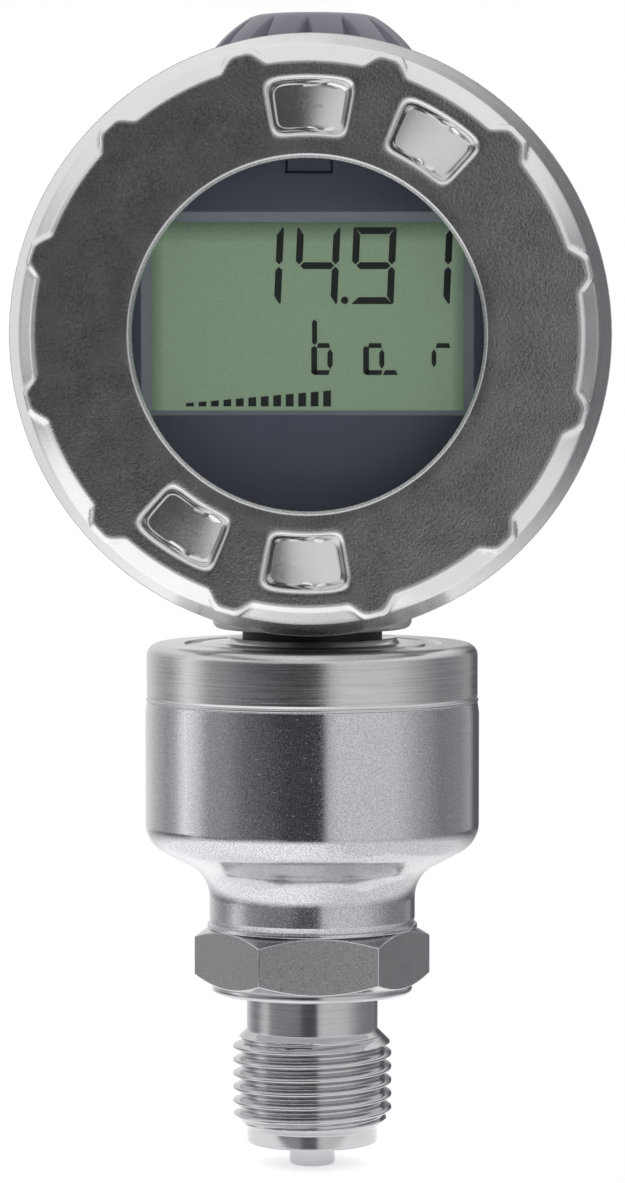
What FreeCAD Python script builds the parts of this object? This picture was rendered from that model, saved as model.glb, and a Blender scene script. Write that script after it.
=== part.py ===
import FreeCAD, Part
import math
import os

# Pressure transmitter for a process line, in millimetres.
# A round die-cast head with a screwed window cover carries a liquid-crystal display. It turns on a
# turned pressure capsule, whose G 1/2 B connection screws into the process.
# The frame: +Z up along the process connection, -Y towards whoever reads the display, and the
# origin in the middle of the sealing face at the lower end of the threaded connection.

Y_AXIS = FreeCAD.Vector(0, 1, 0)
Z_AXIS = FreeCAD.Vector(0, 0, 1)

# Process connection: G 1/2 B male thread with a centring tip
THREAD_DIAMETER = 20.955
THREAD_ROOT_DIAMETER = 17.3
TIP_DIAMETER = 6.0
TIP_LENGTH = 3.0
PORT_DIAMETER = 3.5
PORT_MOUTH_CHAMFER = 0.4
CONNECTION_LENGTH = 20.0
SPIGOT_LENGTH = 2.0
UNDERCUT_LENGTH = 5.0
EDGE_BREAK = 0.4
COLLAR_DIAMETER = 26.6
COLLAR_HEIGHT = 1.0
HEX_ACROSS_FLATS = 27.0
HEX_HEIGHT = 7.6
HEX_CHAMFER_ANGLE = 30.0
HEX_CLOCKING = 4.7
STUB_DIAMETER = 18.0
STUB_LENGTH = 12.0
NECK_WELD_SECTION = 1.0

# Pressure capsule: a turned cup with a welded lid
NECK_DIAMETER = 27.1
NECK_HEIGHT = 6.9
NECK_FILLET = 3.0
SHOULDER_ANGLE = 27.8
SHOULDER_FILLET = 4.0
CAPSULE_DIAMETER = 44.0
CAPSULE_HEIGHT = 29.9
CAPSULE_RIM_BEVEL = 0.2
CAPSULE_RIM_BEVEL_HEIGHT = 1.6
CAPSULE_WALL = 3.2
CAPSULE_FLOOR_HEIGHT = 15.4
CELL_SEAT_STEP = 3.8
CELL_SEAT_DEPTH = 6.6
LID_INSET = 0.2
LID_HEIGHT = 7.6
LID_THICKNESS = 3.0
LID_EDGE_RADIUS = 1.6
LAND_DIAMETER = 22.0
LAND_HEIGHT = 0.8
LID_GROOVE_DIAMETER = 30.0
LID_GROOVE_WIDTH = 1.6
LID_GROOVE_DEPTH = 0.3

# Measuring cell and its board, inside the capsule
CELL_DIAMETER = 17.8
CELL_FLANGE_DIAMETER = 22.0
CELL_FLANGE_HEIGHT = 3.0
CELL_HEADER_DIAMETER = 15.0
CELL_HEADER_HEIGHT = 3.0
DIAPHRAGM_DIAMETER = 11.8
DIAPHRAGM_THICKNESS = 0.2
CELL_SEAL_DIAMETER = 14.6
CELL_SEAL_SECTION = 1.4
CELL_GAP = 0.3
CLAMP_RING_HEIGHT = 4.0
HEADER_PIN_DIAMETER = 0.6
HEADER_PIN_CIRCLE = 8.0
HEADER_PIN_COUNT = 6
HEADER_PIN_LENGTH = 5.4
SPACER_INSET = 1.0
SPACER_WALL = 1.6
SPACER_HEIGHT = 3.4
BOARD_THICKNESS = 1.6
SENSOR_BOARD_CLEARANCE = 0.8
SENSOR_SOCKET_SIZE = 6.0
SENSOR_SOCKET_HEIGHT = 4.6
SENSOR_SOCKET_WELL = 2.0
SENSOR_CHIPS = (
    # width, depth, height, across, along
    (6.0, 6.0, 1.0, 9.5, 5.0),
    (4.0, 5.0, 1.2, -10.0, -4.0),
    (3.6, 4.0, 0.9, -9.0, 6.5),
)

# Swivel between capsule and head
TURRET_DIAMETER = 14.8
TURRET_BORE = 9.0
SWIVEL_CLEARANCE = 0.08
NECK_GASKET_DIAMETER = 18.4
NECK_GASKET_THICKNESS = 1.1
NECK_SEAL_SECTION = 1.5
NECK_SEAL_HEIGHT = 4.5
STOP_WASHER_THICKNESS = 1.0
STOP_TAB_RADIUS = 11.9
STOP_PIN_DIAMETER = 2.4
STOP_PIN_RADIUS = 10.7
STOP_PIN_HEIGHT = 2.2
STOP_PIN_DEPTH = 3.0
SWIVEL_RANGE = 160.0
LOCKNUT_DIAMETER = 18.4
LOCKNUT_HEIGHT = 3.0
LOCKNUT_SLOT_WIDTH = 2.6
LOCKNUT_SLOT_DEPTH = 1.4
CABLE_DIAMETER = 3.8
CABLE_ENTRY = 1.8
CABLE_RISE = 1.2
SENSOR_PLUG_WIDTH = 9.0
SENSOR_PLUG_DEPTH = 7.0
SENSOR_PLUG_HEIGHT = 3.2
STOP_PLAY_ANGLE = 1.0

# Head casting
HEAD_GAP = 1.7
FLANGE_PROUD = 0.4
FLANGE_THICKNESS = 4.2
FLANGE_FRONT = -13.6
FLANGE_STEP = 2.5
FLANGE_EDGE_RADIUS = 1.2
BARREL_TAPER = 1.2
BARREL_BACK = 25.0
BARREL_BACK_FILLET = 9.0
BARREL_WALL = 4.0
CAVITY_BACK = 20.0
CAVITY_FILLET = 3.0
HOUSING_MOUTH_WALL = 3.5
HOUSING_MOUTH_FRONT = -21.6
HOUSING_MOUTH_LIP = 3.0
FOOT_DIAMETER = 26.2
FOOT_EDGE_RADIUS = 1.0
BOSS_FILLET = 0.8
BOSS_EDGE_RADIUS = 0.4
SEAT_DIAMETER = 26.2
SEAT_HEIGHT = 2.5
POST_DIAMETER = 6.4
POST_INSET = 7.5
POST_ANGLES = (65.0, 115.0, 245.0, 295.0)

# Screwed cover with its window
COVER_DIAMETER = 76.6
COVER_FRONT = -30.0
COVER_BACK_GAP = 0.4
COVER_WALL = 4.6
COVER_TAPER = 1.0
COVER_BEVEL_WIDTH = 3.6
COVER_BEVEL_ANGLE = 43.3
COVER_SHOULDER_RADIUS = 5.0
COVER_CLOCKING = 1.5
WINDOW_RIM_WIDTH = 3.95
WINDOW_EDGE_CHAMFER = 0.45
WINDOW_LIP = 2.6
GLASS_GASKET_LAP = 1.0
TOOTH_COUNT = 12
TOOTH_OVERLAP = 1.0
TOOTH_REACH = 1.9
TOOTH_ROOT_HALF_ANGLE = 5.2
TOOTH_TIP_HALF_ANGLE = 1.7
TOOTH_TIP_ROUNDING = 0.6
TOOTH_DEPTH = 3.8
TOOTH_DRAFT = 1.6
POCKET_INSET = 1.7
POCKET_LENGTH = 6.9
POCKET_HALF_ANGLE = 10.0
POCKET_SPREAD = 16.0
POCKET_DEPTH = 1.6
POCKET_DRAFT = 1.2
GLASS_INSET = 3.1
GLASS_THICKNESS = 3.0
GLASS_CLEARANCE = 0.2
GLASS_GASKET_THICKNESS = 0.4
RETAINER_STEP = 4.6
RETAINER_LAP = 2.4
RETAINER_THICKNESS = 2.2
RETAINER_SLOT_WIDTH = 3.0
RETAINER_SLOT_DEPTH = 1.0
COVER_SEAL_SECTION = 1.8
COVER_SEAL_LIFT = 0.2
THREAD_CLEARANCE = 0.2

# Display module, plugged on the electronics module
DISPLAY_CLEARANCE = 1.0
DISPLAY_FRONT = -20.5
DISPLAY_PLATE = 1.5
DISPLAY_SKIRT_WALL = 1.5
DISPLAY_EDGE_RADIUS = 0.6
SCREEN_HEIGHT = 24.4
SCREEN_RISE = 2.2
SCREEN_BEVEL = 1.4
SCREEN_LOWER_BEVEL = 0.7
LCD_MARGIN = 2.0
LCD_CORNER_CLEARANCE = 0.18
LCD_THICKNESS = 1.8
REFLECTOR_THICKNESS = 0.8
REFLECTOR_MARGIN = 1.0
CONTACT_STRIP_THICKNESS = 1.6
CONTACT_STRIP_GAP = 0.3
LIGHT_GUIDE_DEPTH = 2.4
DISPLAY_BACK_CLEARANCE = 0.2
DISPLAY_PLUG_WIDTH = 14.0
DISPLAY_PLUG_HEIGHT = 4.0
DISPLAY_PLUG_DROP = 12.0
LATCH_WIDTH = 6.0
LATCH_INSET = 8.7
LATCH_HEIGHT = 4.0
LATCH_GAP = 0.25
LATCH_RECESS = 0.4
LATCH_LEG_MARGIN = 1.0
LATCH_LEG_THICKNESS = 1.0

# Electronics module
MODULE_CLEARANCE = 2.5
MODULE_FRONT = -10.4
MODULE_WALL = 1.5
MODULE_ENCODER_GAP = 4.2
MAIN_BOARD_FRONT = -7.0
MAIN_BOARD_MARGIN = 0.5
MAIN_BOARD_CHIPS = (
    # width, height, thickness, rise, across
    (12.0, 12.0, 1.4, 5.0, -9.0),
    (9.0, 7.0, 2.2, 5.0, 9.0),
)
CAPACITOR_DIAMETER = 6.3
CAPACITOR_LENGTH = 7.0
CAPACITOR_DROP = 6.0
CAPACITOR_OFFSET = 15.0
STANDOFF_DIAMETER = 4.0
STANDOFF_INSET = 15.5
STANDOFF_ANGLES = (0.0, 135.0, 225.0)
MODULE_SCREW_DIAMETER = 3.0
MODULE_SCREW_HEAD_DIAMETER = 5.6
MODULE_SCREW_HEAD_HEIGHT = 2.0
MODULE_SCREW_LENGTH = 7.0
SCREW_HOLE_CLEARANCE = 0.1
SUPPLY_SOCKET_WIDTH = 9.0
SUPPLY_SOCKET_HEIGHT = 9.0
SUPPLY_SOCKET_GAP = 0.3
SUPPLY_SOCKET_FLOOR = 1.0

# Setting knob with its push encoder, on top of the head
KNOB_OFFSET = 5.0
KNOB_SEAT_DEPTH = 3.2
KNOB_BOSS_DIAMETER = 32.0
KNOB_BASE_DIAMETER = 30.5
KNOB_DOME_RADIUS = 16.65
KNOB_HEIGHT = 8.0
KNOB_UNDER_GAP = 1.1
KNOB_WALL = 1.8
KNOB_SKIRT_HEIGHT = 1.2
KNOB_FLUTE_WALL = 0.5
KNOB_FLUTE_COUNT = 12
KNOB_FLUTE_TOP_RADIUS = 8.4
KNOB_FLUTE_BASE_RADIUS = 13.2
KNOB_FLUTE_HALF_WIDTH = 1.5
KNOB_FLUTE_CLOCKING = -64.0
KNOB_HUB_DIAMETER = 11.0
KNOB_SEAL_DIAMETER = 24.4
KNOB_SEAL_WALL = 1.6
KNOB_SEAL_HEIGHT = 1.6
SPINDLE_DIAMETER = 6.0
SPINDLE_FIT = 0.03
SPINDLE_FLAT = 0.9
ENCODER_SEAT_DIAMETER = 18.0
ENCODER_SEAT_DROP = 0.9
ENCODER_WIDTH = 13.6
ENCODER_DEPTH = 12.0
ENCODER_HEIGHT = 7.4
ENCODER_BASE = 0.8
ENCODER_ROOF = 1.6
ENCODER_CHAMBER_DIAMETER = 11.2
ROTOR_DIAMETER = 10.4
ROTOR_HEIGHT = 3.0
ROTOR_FLOAT = 0.3
BUSHING_DIAMETER = 9.0
BUSHING_CLEARANCE = 0.05
BUSHING_RISE = 3.1
ENCODER_NUT_ACROSS_FLATS = 13.0
ENCODER_NUT_HEIGHT = 2.0
DOME_DIAMETER = 5.2
DOME_RISE = 1.0
DOME_THICKNESS = 0.2
DOME_GAP = 0.2
GRUB_DIAMETER = 2.5
GRUB_LENGTH = 5.0

# Rear plug connector, M12 x 1, four pins
CONNECTOR_BOSS_DIAMETER = 24.0
CONNECTOR_BOSS_HEIGHT = 2.5
CONNECTOR_THREAD_DIAMETER = 12.0
CONNECTOR_THREAD_LENGTH = 10.5
CONNECTOR_THREAD_CHAMFER = 0.7
CONNECTOR_BORE = 8.8
CONNECTOR_BORE_DEPTH = 9.0
CONNECTOR_HEX_ACROSS_FLATS = 17.0
CONNECTOR_HEX_HEIGHT = 3.0
CONNECTOR_STEM_DIAMETER = 15.0
CONNECTOR_STEM_LENGTH = 11.0
CONNECTOR_STEM_BORE = 9.4
CONNECTOR_STEM_CLEARANCE = 0.1
CONNECTOR_LOCKNUT_ACROSS_FLATS = 19.0
CONNECTOR_LOCKNUT_HEIGHT = 2.6
CONNECTOR_SEAL_DIAMETER = 18.0
CONNECTOR_SEAL_THICKNESS = 0.8
INSERT_THICKNESS = 2.4
INSERT_KEY_WIDTH = 1.0
INSERT_KEY_HEIGHT = 0.8
INSERT_KEY_GAP = 0.3
INSERT_RECESS = 1.5
CONTACT_DIAMETER = 1.0
CONTACT_CIRCLE = 5.5
CONTACT_COUNT = 4
CONTACT_LENGTH = 8.0
CONTACT_FIT = 0.02
CONTACT_GAP = 0.2
CONTACT_REACH = 0.75
CONTACT_CLOCKING = 45.0

# Earth terminal and vent on the back
TERMINAL_OFFSET = 15.0
TERMINAL_DROP = 17.0
TERMINAL_BOSS_DIAMETER = 12.0
TERMINAL_BOSS_HEIGHT = 1.5
EARTH_SCREW_DIAMETER = 4.0
EARTH_SCREW_HEAD_DIAMETER = 7.6
EARTH_SCREW_HEAD_HEIGHT = 2.6
EARTH_SCREW_SLOT = 1.0
EARTH_SCREW_SLOT_DEPTH = 1.2
EARTH_SCREW_TIP_GAP = 0.5
TERMINAL_EDGE_RADIUS = 0.8
EARTH_SCREW_DEPTH = 5.0
EARTH_CLAMP_WIDTH = 10.4
EARTH_CLAMP_THICKNESS = 1.2
EARTH_CLAMP_LIP_HEIGHT = 2.4
VENT_DIAMETER = 10.4
VENT_HEIGHT = 3.0
VENT_STEM_DIAMETER = 6.0
VENT_STEM_LENGTH = 4.5
VENT_BORE = 3.0
VENT_NOTCH_COUNT = 6
VENT_NOTCH_WIDTH = 1.2
VENT_NOTCH_CLOCKING = 30.0
VENT_NOTCH_FOOT = 0.6
VENT_ROOF = 1.2
VENT_MEMBRANE_THICKNESS = 0.4
FIT_CLEARANCE = 0.05

# Diameters of the head, worked out from the cover's
flange_diameter = COVER_DIAMETER + 2 * FLANGE_PROUD
barrel_diameter = flange_diameter - 2 * FLANGE_STEP
barrel_back_diameter = barrel_diameter - 2 * BARREL_TAPER
cavity_diameter = barrel_back_diameter - 2 * BARREL_WALL
cover_thread_diameter = COVER_DIAMETER - 2 * COVER_WALL
housing_mouth_diameter = cover_thread_diameter - 2 * HOUSING_MOUTH_WALL
cover_shoulder_diameter = COVER_DIAMETER - 2 * COVER_TAPER
cover_face_diameter = cover_shoulder_diameter - 2 * COVER_BEVEL_WIDTH
tooth_reach_diameter = cover_face_diameter + 2 * TOOTH_REACH
cover_seal_diameter = (COVER_DIAMETER + cover_thread_diameter) / 2
pocket_outer_diameter = cover_face_diameter - 2 * POCKET_INSET
pocket_inner_diameter = pocket_outer_diameter - 2 * POCKET_LENGTH
retainer_diameter = cover_thread_diameter - 2 * RETAINER_STEP
glass_diameter = retainer_diameter - 2 * GLASS_INSET
retainer_bore = glass_diameter - 2 * RETAINER_LAP
window_diameter = glass_diameter - 2 * WINDOW_RIM_WIDTH
display_diameter = housing_mouth_diameter - 2 * DISPLAY_CLEARANCE
module_diameter = cavity_diameter - 2 * MODULE_CLEARANCE
post_circle = module_diameter - 2 * POST_INSET
standoff_circle = module_diameter - 2 * STANDOFF_INSET

# Width of the screen, from the corner of its liquid-crystal cell in the display's round skirt
lcd_corner_radius = display_diameter / 2 - DISPLAY_SKIRT_WALL - LCD_CORNER_CLEARANCE
lcd_corner_rise = SCREEN_RISE + SCREEN_HEIGHT / 2 + LCD_MARGIN
screen_width = 2 * (math.sqrt(lcd_corner_radius ** 2 - lcd_corner_rise ** 2) - LCD_MARGIN)

# Heights up the capsule, worked out from the sizes above
thread_step = (THREAD_DIAMETER - THREAD_ROOT_DIAMETER) / 2
collar_top = CONNECTION_LENGTH + COLLAR_HEIGHT
hex_top = collar_top + HEX_HEIGHT
stub_top = hex_top + STUB_LENGTH
capsule_floor = hex_top + CAPSULE_FLOOR_HEIGHT
cell_seat = capsule_floor
cavity_step = cell_seat + CELL_SEAT_DEPTH
joint_height = hex_top + CAPSULE_HEIGHT
lid_top = joint_height + LID_HEIGHT
land_top = lid_top + LAND_HEIGHT
capsule_cavity_diameter = CAPSULE_DIAMETER - 2 * CAPSULE_WALL
cell_seat_diameter = capsule_cavity_diameter - 2 * CELL_SEAT_STEP
sensor_board_diameter = capsule_cavity_diameter - 2 * SENSOR_BOARD_CLEARANCE
spacer_diameter = sensor_board_diameter - 2 * SPACER_INSET
lid_diameter = CAPSULE_DIAMETER - 2 * LID_INSET
cell_bottom = stub_top + CELL_GAP
clamp_ring_bottom = cell_seat + CELL_FLANGE_HEIGHT
clamp_ring_top = clamp_ring_bottom + CLAMP_RING_HEIGHT
header_top = clamp_ring_bottom + CELL_HEADER_HEIGHT
sensor_board_bottom = cavity_step + SPACER_HEIGHT
sensor_board_top = sensor_board_bottom + BOARD_THICKNESS
sensor_socket_top = sensor_board_top + SENSOR_SOCKET_HEIGHT

# Heights and depths of the head
foot_bottom = land_top + NECK_GASKET_THICKNESS + SWIVEL_CLEARANCE
head_height = lid_top + HEAD_GAP + flange_diameter / 2
head_centre = FreeCAD.Vector(0, 0, head_height)
seat_top = head_height - cavity_diameter / 2 + SEAT_HEIGHT
stop_washer_bottom = seat_top + SWIVEL_CLEARANCE
locknut_bottom = stop_washer_bottom + STOP_WASHER_THICKNESS
turret_top = locknut_bottom + LOCKNUT_HEIGHT
module_bottom = turret_top + CABLE_RISE + SENSOR_PLUG_HEIGHT
flange_back = FLANGE_FRONT + FLANGE_THICKNESS
cover_back = FLANGE_FRONT - COVER_BACK_GAP
glass_gasket_front = COVER_FRONT + WINDOW_LIP
glass_front = glass_gasket_front + GLASS_GASKET_THICKNESS
glass_back = glass_front + GLASS_THICKNESS
retainer_back = glass_back + RETAINER_THICKNESS
lcd_front = DISPLAY_FRONT + DISPLAY_PLATE
lcd_back = lcd_front + LCD_THICKNESS
reflector_back = lcd_back + REFLECTOR_THICKNESS
display_board_front = reflector_back + LIGHT_GUIDE_DEPTH
display_board_back = display_board_front + BOARD_THICKNESS
screen_height = head_height + SCREEN_RISE
latch_height = head_height + display_diameter / 2 - LATCH_INSET + LATCH_HEIGHT / 2
main_board_back = MAIN_BOARD_FRONT + BOARD_THICKNESS
post_front = CAVITY_BACK - MODULE_SCREW_LENGTH
module_back = post_front
connector_face = BARREL_BACK + CONNECTOR_BOSS_HEIGHT
connector_flange_front = connector_face + CONNECTOR_SEAL_THICKNESS
connector_flange_back = connector_flange_front + CONNECTOR_HEX_HEIGHT
connector_end = connector_flange_back + CONNECTOR_THREAD_LENGTH
connector_bore_floor = connector_end - CONNECTOR_BORE_DEPTH
connector_stem_front = connector_flange_front - CONNECTOR_STEM_LENGTH
insert_back = connector_bore_floor + INSERT_THICKNESS
contact_end = insert_back + CONTACT_LENGTH * CONTACT_REACH
terminal_face = BARREL_BACK + TERMINAL_BOSS_HEIGHT
terminal_height = head_height - TERMINAL_DROP

# Heights of the setting knob
knob_seat = head_height + barrel_diameter / 2 - KNOB_SEAT_DEPTH
knob_bottom = knob_seat + KNOB_UNDER_GAP
knob_top = knob_bottom + KNOB_HEIGHT
encoder_seat = head_height + cavity_diameter / 2 - ENCODER_SEAT_DROP
encoder_bottom = encoder_seat - ENCODER_HEIGHT
module_top = encoder_bottom - MODULE_ENCODER_GAP
chamber_floor = encoder_bottom + ENCODER_BASE
chamber_roof = encoder_seat - ENCODER_ROOF
bushing_top = knob_seat + BUSHING_RISE
spindle_bottom = chamber_floor + DOME_RISE + DOME_GAP
knob_roof = knob_top - KNOB_WALL
knob_hub_bottom = bushing_top + KNOB_UNDER_GAP
rotor_bottom = chamber_roof - ROTOR_FLOAT - ROTOR_HEIGHT


def rounded_wire(corners):
    """Closed wire in the XZ plane through (across, up) corners. A third number rounds that corner."""
    points = [FreeCAD.Vector(corner[0], 0, corner[1]) for corner in corners]
    radii = [corner[2] if len(corner) > 2 else 0 for corner in corners]
    starts, ends, arcs = [], [], []
    for i, point in enumerate(points):
        before = (points[i - 1] - point).normalize()
        after = (points[(i + 1) % len(points)] - point).normalize()
        if not radii[i]:
            starts.append(point)
            ends.append(point)
            arcs.append(None)
            continue
        half = before.getAngle(after) / 2
        reach = radii[i] / math.tan(half)
        inward = (before + after).normalize()
        middle = point + inward * (radii[i] / math.sin(half) - radii[i])
        starts.append(point + before * reach)
        ends.append(point + after * reach)
        arcs.append(Part.Arc(starts[i], middle, ends[i]).toShape())
    edges = []
    for i in range(len(points)):
        if arcs[i]:
            edges.append(arcs[i])
        following = starts[(i + 1) % len(points)]
        if ends[i].distanceToPoint(following) > 1e-6:
            edges.append(Part.makeLine(ends[i], following))
    return Part.Wire(edges)


def placed(shape, base, direction):
    """The shape, made about +Z at the origin, moved to base with its +Z turned to direction."""
    turn = FreeCAD.Rotation(Z_AXIS, direction)
    moved = shape.copy()
    moved.Placement = FreeCAD.Placement(base, turn).multiply(moved.Placement)
    return moved


def turned(corners, base=FreeCAD.Vector(0, 0, 0), direction=Z_AXIS):
    """Solid of revolution of (radius, along) corners about the line through base."""
    solid = Part.Face(rounded_wire(corners)).revolve(FreeCAD.Vector(0, 0, 0), Z_AXIS, 360)
    return placed(solid, base, direction)


def rod(diameter, start, end, base=FreeCAD.Vector(0, 0, 0), direction=Z_AXIS):
    """Cylinder on the line through base, from start to end along it."""
    cylinder = Part.makeCylinder(diameter / 2, end - start, FreeCAD.Vector(0, 0, start))
    return placed(cylinder, base, direction)


def tube(outer, inner, start, end, base=FreeCAD.Vector(0, 0, 0), direction=Z_AXIS):
    """Plain ring between two diameters."""
    outside = rod(outer, start, end, base, direction)
    return outside.cut(rod(inner, start - 1, end + 1, base, direction))


def o_ring(diameter, section, along, base=FreeCAD.Vector(0, 0, 0), direction=Z_AXIS):
    """Round cord seal on a mean diameter."""
    ring = Part.makeTorus(diameter / 2, section / 2, FreeCAD.Vector(0, 0, along))
    return placed(ring, base, direction)


def hexagon(across_flats, start, end, base=FreeCAD.Vector(0, 0, 0), direction=Z_AXIS, clocking=0.0):
    """Hexagonal prism with one pair of flats square to the -Y side, turned by clocking."""
    corner_radius = across_flats / 2 / math.cos(math.radians(30))
    points = []
    for k in range(7):
        angle = math.radians(60 * k + clocking)
        corner = FreeCAD.Vector(math.cos(angle), math.sin(angle), 0) * corner_radius
        points.append(corner + FreeCAD.Vector(0, 0, start))
    prism = Part.Face(Part.makePolygon(points)).extrude(FreeCAD.Vector(0, 0, end - start))
    return placed(prism, base, direction)


def block(width, depth, height, centre, bottom):
    """Box with its width along X and depth along Y, centred over (x, y), standing on bottom."""
    corner = FreeCAD.Vector(centre[0] - width / 2, centre[1] - depth / 2, bottom)
    return Part.makeBox(width, depth, height, corner)


def panel(width, height, front, back, centre_height, centre_x=0.0):
    """Upright rectangular plate between two depths."""
    corner = FreeCAD.Vector(centre_x - width / 2, front, centre_height - height / 2)
    return Part.makeBox(width, back - front, height, corner)


def face_point(radius, angle, depth):
    """Point on the head's face: angle clockwise from the top as the reader sees it."""
    turn = math.radians(angle)
    return FreeCAD.Vector(radius * math.sin(turn), depth, head_height + radius * math.cos(turn))


def arc_edge(radius, start_angle, end_angle, depth):
    """Arc about the head's axis, between two clockwise angles."""
    middle = face_point(radius, (start_angle + end_angle) / 2, depth)
    start = face_point(radius, start_angle, depth)
    return Part.Arc(start, middle, face_point(radius, end_angle, depth)).toShape()


def around(shape, count, centre, axis, first=0.0):
    """Copies of a shape, evenly spaced about an axis."""
    copies = []
    for k in range(count):
        copy = shape.copy()
        copy.rotate(centre, axis, first + 360.0 * k / count)
        copies.append(copy)
    return copies


def chamfered_hex_limit(diameter, start, end, base=FreeCAD.Vector(0, 0, 0), direction=Z_AXIS):
    """Double cone that takes a hexagon's corners off at both ends, starting at a diameter."""
    reach = diameter
    drop = (reach - diameter / 2) * math.tan(math.radians(HEX_CHAMFER_ANGLE))
    outside = [(reach, start + drop), (reach, end - drop)]
    if start + drop >= end - drop:
        middle = (start + end) / 2
        outside = [(diameter / 2 + (middle - start) / math.tan(math.radians(HEX_CHAMFER_ANGLE)), middle)]
    corners = [(0, start), (diameter / 2, start)] + outside + [(diameter / 2, end), (0, end)]
    return turned(corners, base, direction)


def process_connection():
    """Hexagon, collar, threaded spigot and centring tip, turned from one bar, with the pressure port."""
    thread_top = CONNECTION_LENGTH - UNDERCUT_LENGTH
    spigot = turned([
        (0, -TIP_LENGTH),
        (TIP_DIAMETER / 2 - EDGE_BREAK, -TIP_LENGTH),
        (TIP_DIAMETER / 2, -TIP_LENGTH + EDGE_BREAK),
        (TIP_DIAMETER / 2, 0),
        (THREAD_ROOT_DIAMETER / 2, 0),
        (THREAD_ROOT_DIAMETER / 2, SPIGOT_LENGTH),
        (THREAD_DIAMETER / 2, SPIGOT_LENGTH + thread_step),
        (THREAD_DIAMETER / 2, thread_top - thread_step),
        (THREAD_ROOT_DIAMETER / 2, thread_top),
        (THREAD_ROOT_DIAMETER / 2, CONNECTION_LENGTH),
        (COLLAR_DIAMETER / 2 - EDGE_BREAK, CONNECTION_LENGTH),
        (COLLAR_DIAMETER / 2, CONNECTION_LENGTH + EDGE_BREAK),
        (COLLAR_DIAMETER / 2, collar_top),
        (STUB_DIAMETER / 2, collar_top),
        (STUB_DIAMETER / 2, stub_top),
        (0, stub_top),
    ])
    flats = hexagon(HEX_ACROSS_FLATS, collar_top, hex_top, clocking=HEX_CLOCKING)
    flats = flats.common(chamfered_hex_limit(COLLAR_DIAMETER, collar_top, hex_top))
    port_end = stub_top + 1
    port = turned([
        (0, -TIP_LENGTH),
        (PORT_DIAMETER / 2 + PORT_MOUTH_CHAMFER, -TIP_LENGTH),
        (PORT_DIAMETER / 2, -TIP_LENGTH + PORT_MOUTH_CHAMFER),
        (PORT_DIAMETER / 2, port_end),
        (0, port_end),
    ])
    seal_groove = tube(
        CELL_SEAL_DIAMETER + CELL_SEAL_SECTION + FIT_CLEARANCE,
        CELL_SEAL_DIAMETER - CELL_SEAL_SECTION - FIT_CLEARANCE,
        cell_bottom - CELL_SEAL_SECTION - FIT_CLEARANCE,
        stub_top + 1,
    )
    return spigot.fuse(flats).cut(port).cut(seal_groove).removeSplitter()


def capsule_body():
    """Deep cup with a necked, sloping shoulder, bored for the stub and the cell, and its bottom weld."""
    corner_height = hex_top + NECK_HEIGHT
    rise = (CAPSULE_DIAMETER - NECK_DIAMETER) / 2 * math.tan(math.radians(SHOULDER_ANGLE))
    stub_bore = STUB_DIAMETER / 2 + FIT_CLEARANCE
    weld = o_ring(NECK_DIAMETER, NECK_WELD_SECTION, hex_top)
    weld = weld.common(rod(NECK_DIAMETER + 2 * NECK_WELD_SECTION, hex_top, hex_top + NECK_WELD_SECTION))
    cup = turned([
        (stub_bore, hex_top),
        (NECK_DIAMETER / 2, hex_top),
        (NECK_DIAMETER / 2, corner_height, NECK_FILLET),
        (CAPSULE_DIAMETER / 2, corner_height + rise, SHOULDER_FILLET),
        (CAPSULE_DIAMETER / 2, joint_height - CAPSULE_RIM_BEVEL_HEIGHT),
        (CAPSULE_DIAMETER / 2 - CAPSULE_RIM_BEVEL, joint_height),
        (capsule_cavity_diameter / 2, joint_height),
        (capsule_cavity_diameter / 2, cavity_step),
        (cell_seat_diameter / 2, cavity_step),
        (cell_seat_diameter / 2, cell_seat),
        (stub_bore, cell_seat),
    ])
    return cup.fuse(weld).removeSplitter()


def capsule_lid():
    """Welded lid with a raised land and the hollow turret that the head turns on."""
    land_radius = LAND_DIAMETER / 2
    turret_radius = TURRET_DIAMETER / 2
    groove_bottom = foot_bottom + NECK_SEAL_HEIGHT
    groove_top = groove_bottom + NECK_SEAL_SECTION + 2 * FIT_CLEARANCE
    groove_radius = turret_radius + SWIVEL_CLEARANCE - NECK_SEAL_SECTION
    groove_in = LID_GROOVE_DIAMETER / 2
    groove_out = groove_in + LID_GROOVE_WIDTH
    return turned([
        (TURRET_BORE / 2, lid_top - LID_THICKNESS),
        (capsule_cavity_diameter / 2 - EDGE_BREAK, lid_top - LID_THICKNESS),
        (capsule_cavity_diameter / 2 - EDGE_BREAK, joint_height),
        (lid_diameter / 2, joint_height),
        (lid_diameter / 2, lid_top, LID_EDGE_RADIUS),
        (groove_out, lid_top),
        (groove_out - LID_GROOVE_DEPTH, lid_top - LID_GROOVE_DEPTH),
        (groove_in + LID_GROOVE_DEPTH, lid_top - LID_GROOVE_DEPTH),
        (groove_in, lid_top),
        (land_radius + LAND_HEIGHT, lid_top),
        (land_radius, land_top),
        (turret_radius, land_top),
        (turret_radius, groove_bottom),
        (groove_radius, groove_bottom),
        (groove_radius, groove_top),
        (turret_radius, groove_top),
        (turret_radius, turret_top),
        (TURRET_BORE / 2, turret_top),
    ])


def neck_o_ring():
    """Seal in the turret's groove, just clear of the head's bore."""
    groove_bottom = foot_bottom + NECK_SEAL_HEIGHT
    outer = TURRET_DIAMETER + SWIVEL_CLEARANCE
    section = NECK_SEAL_SECTION - SWIVEL_CLEARANCE
    return o_ring(outer - section, section, groove_bottom + NECK_SEAL_SECTION / 2 + FIT_CLEARANCE)


def neck_gasket():
    """Flat black ring between the capsule's land and the head's foot."""
    bore = TURRET_DIAMETER + 2 * FIT_CLEARANCE
    return tube(NECK_GASKET_DIAMETER, bore, land_top, land_top + NECK_GASKET_THICKNESS)


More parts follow.
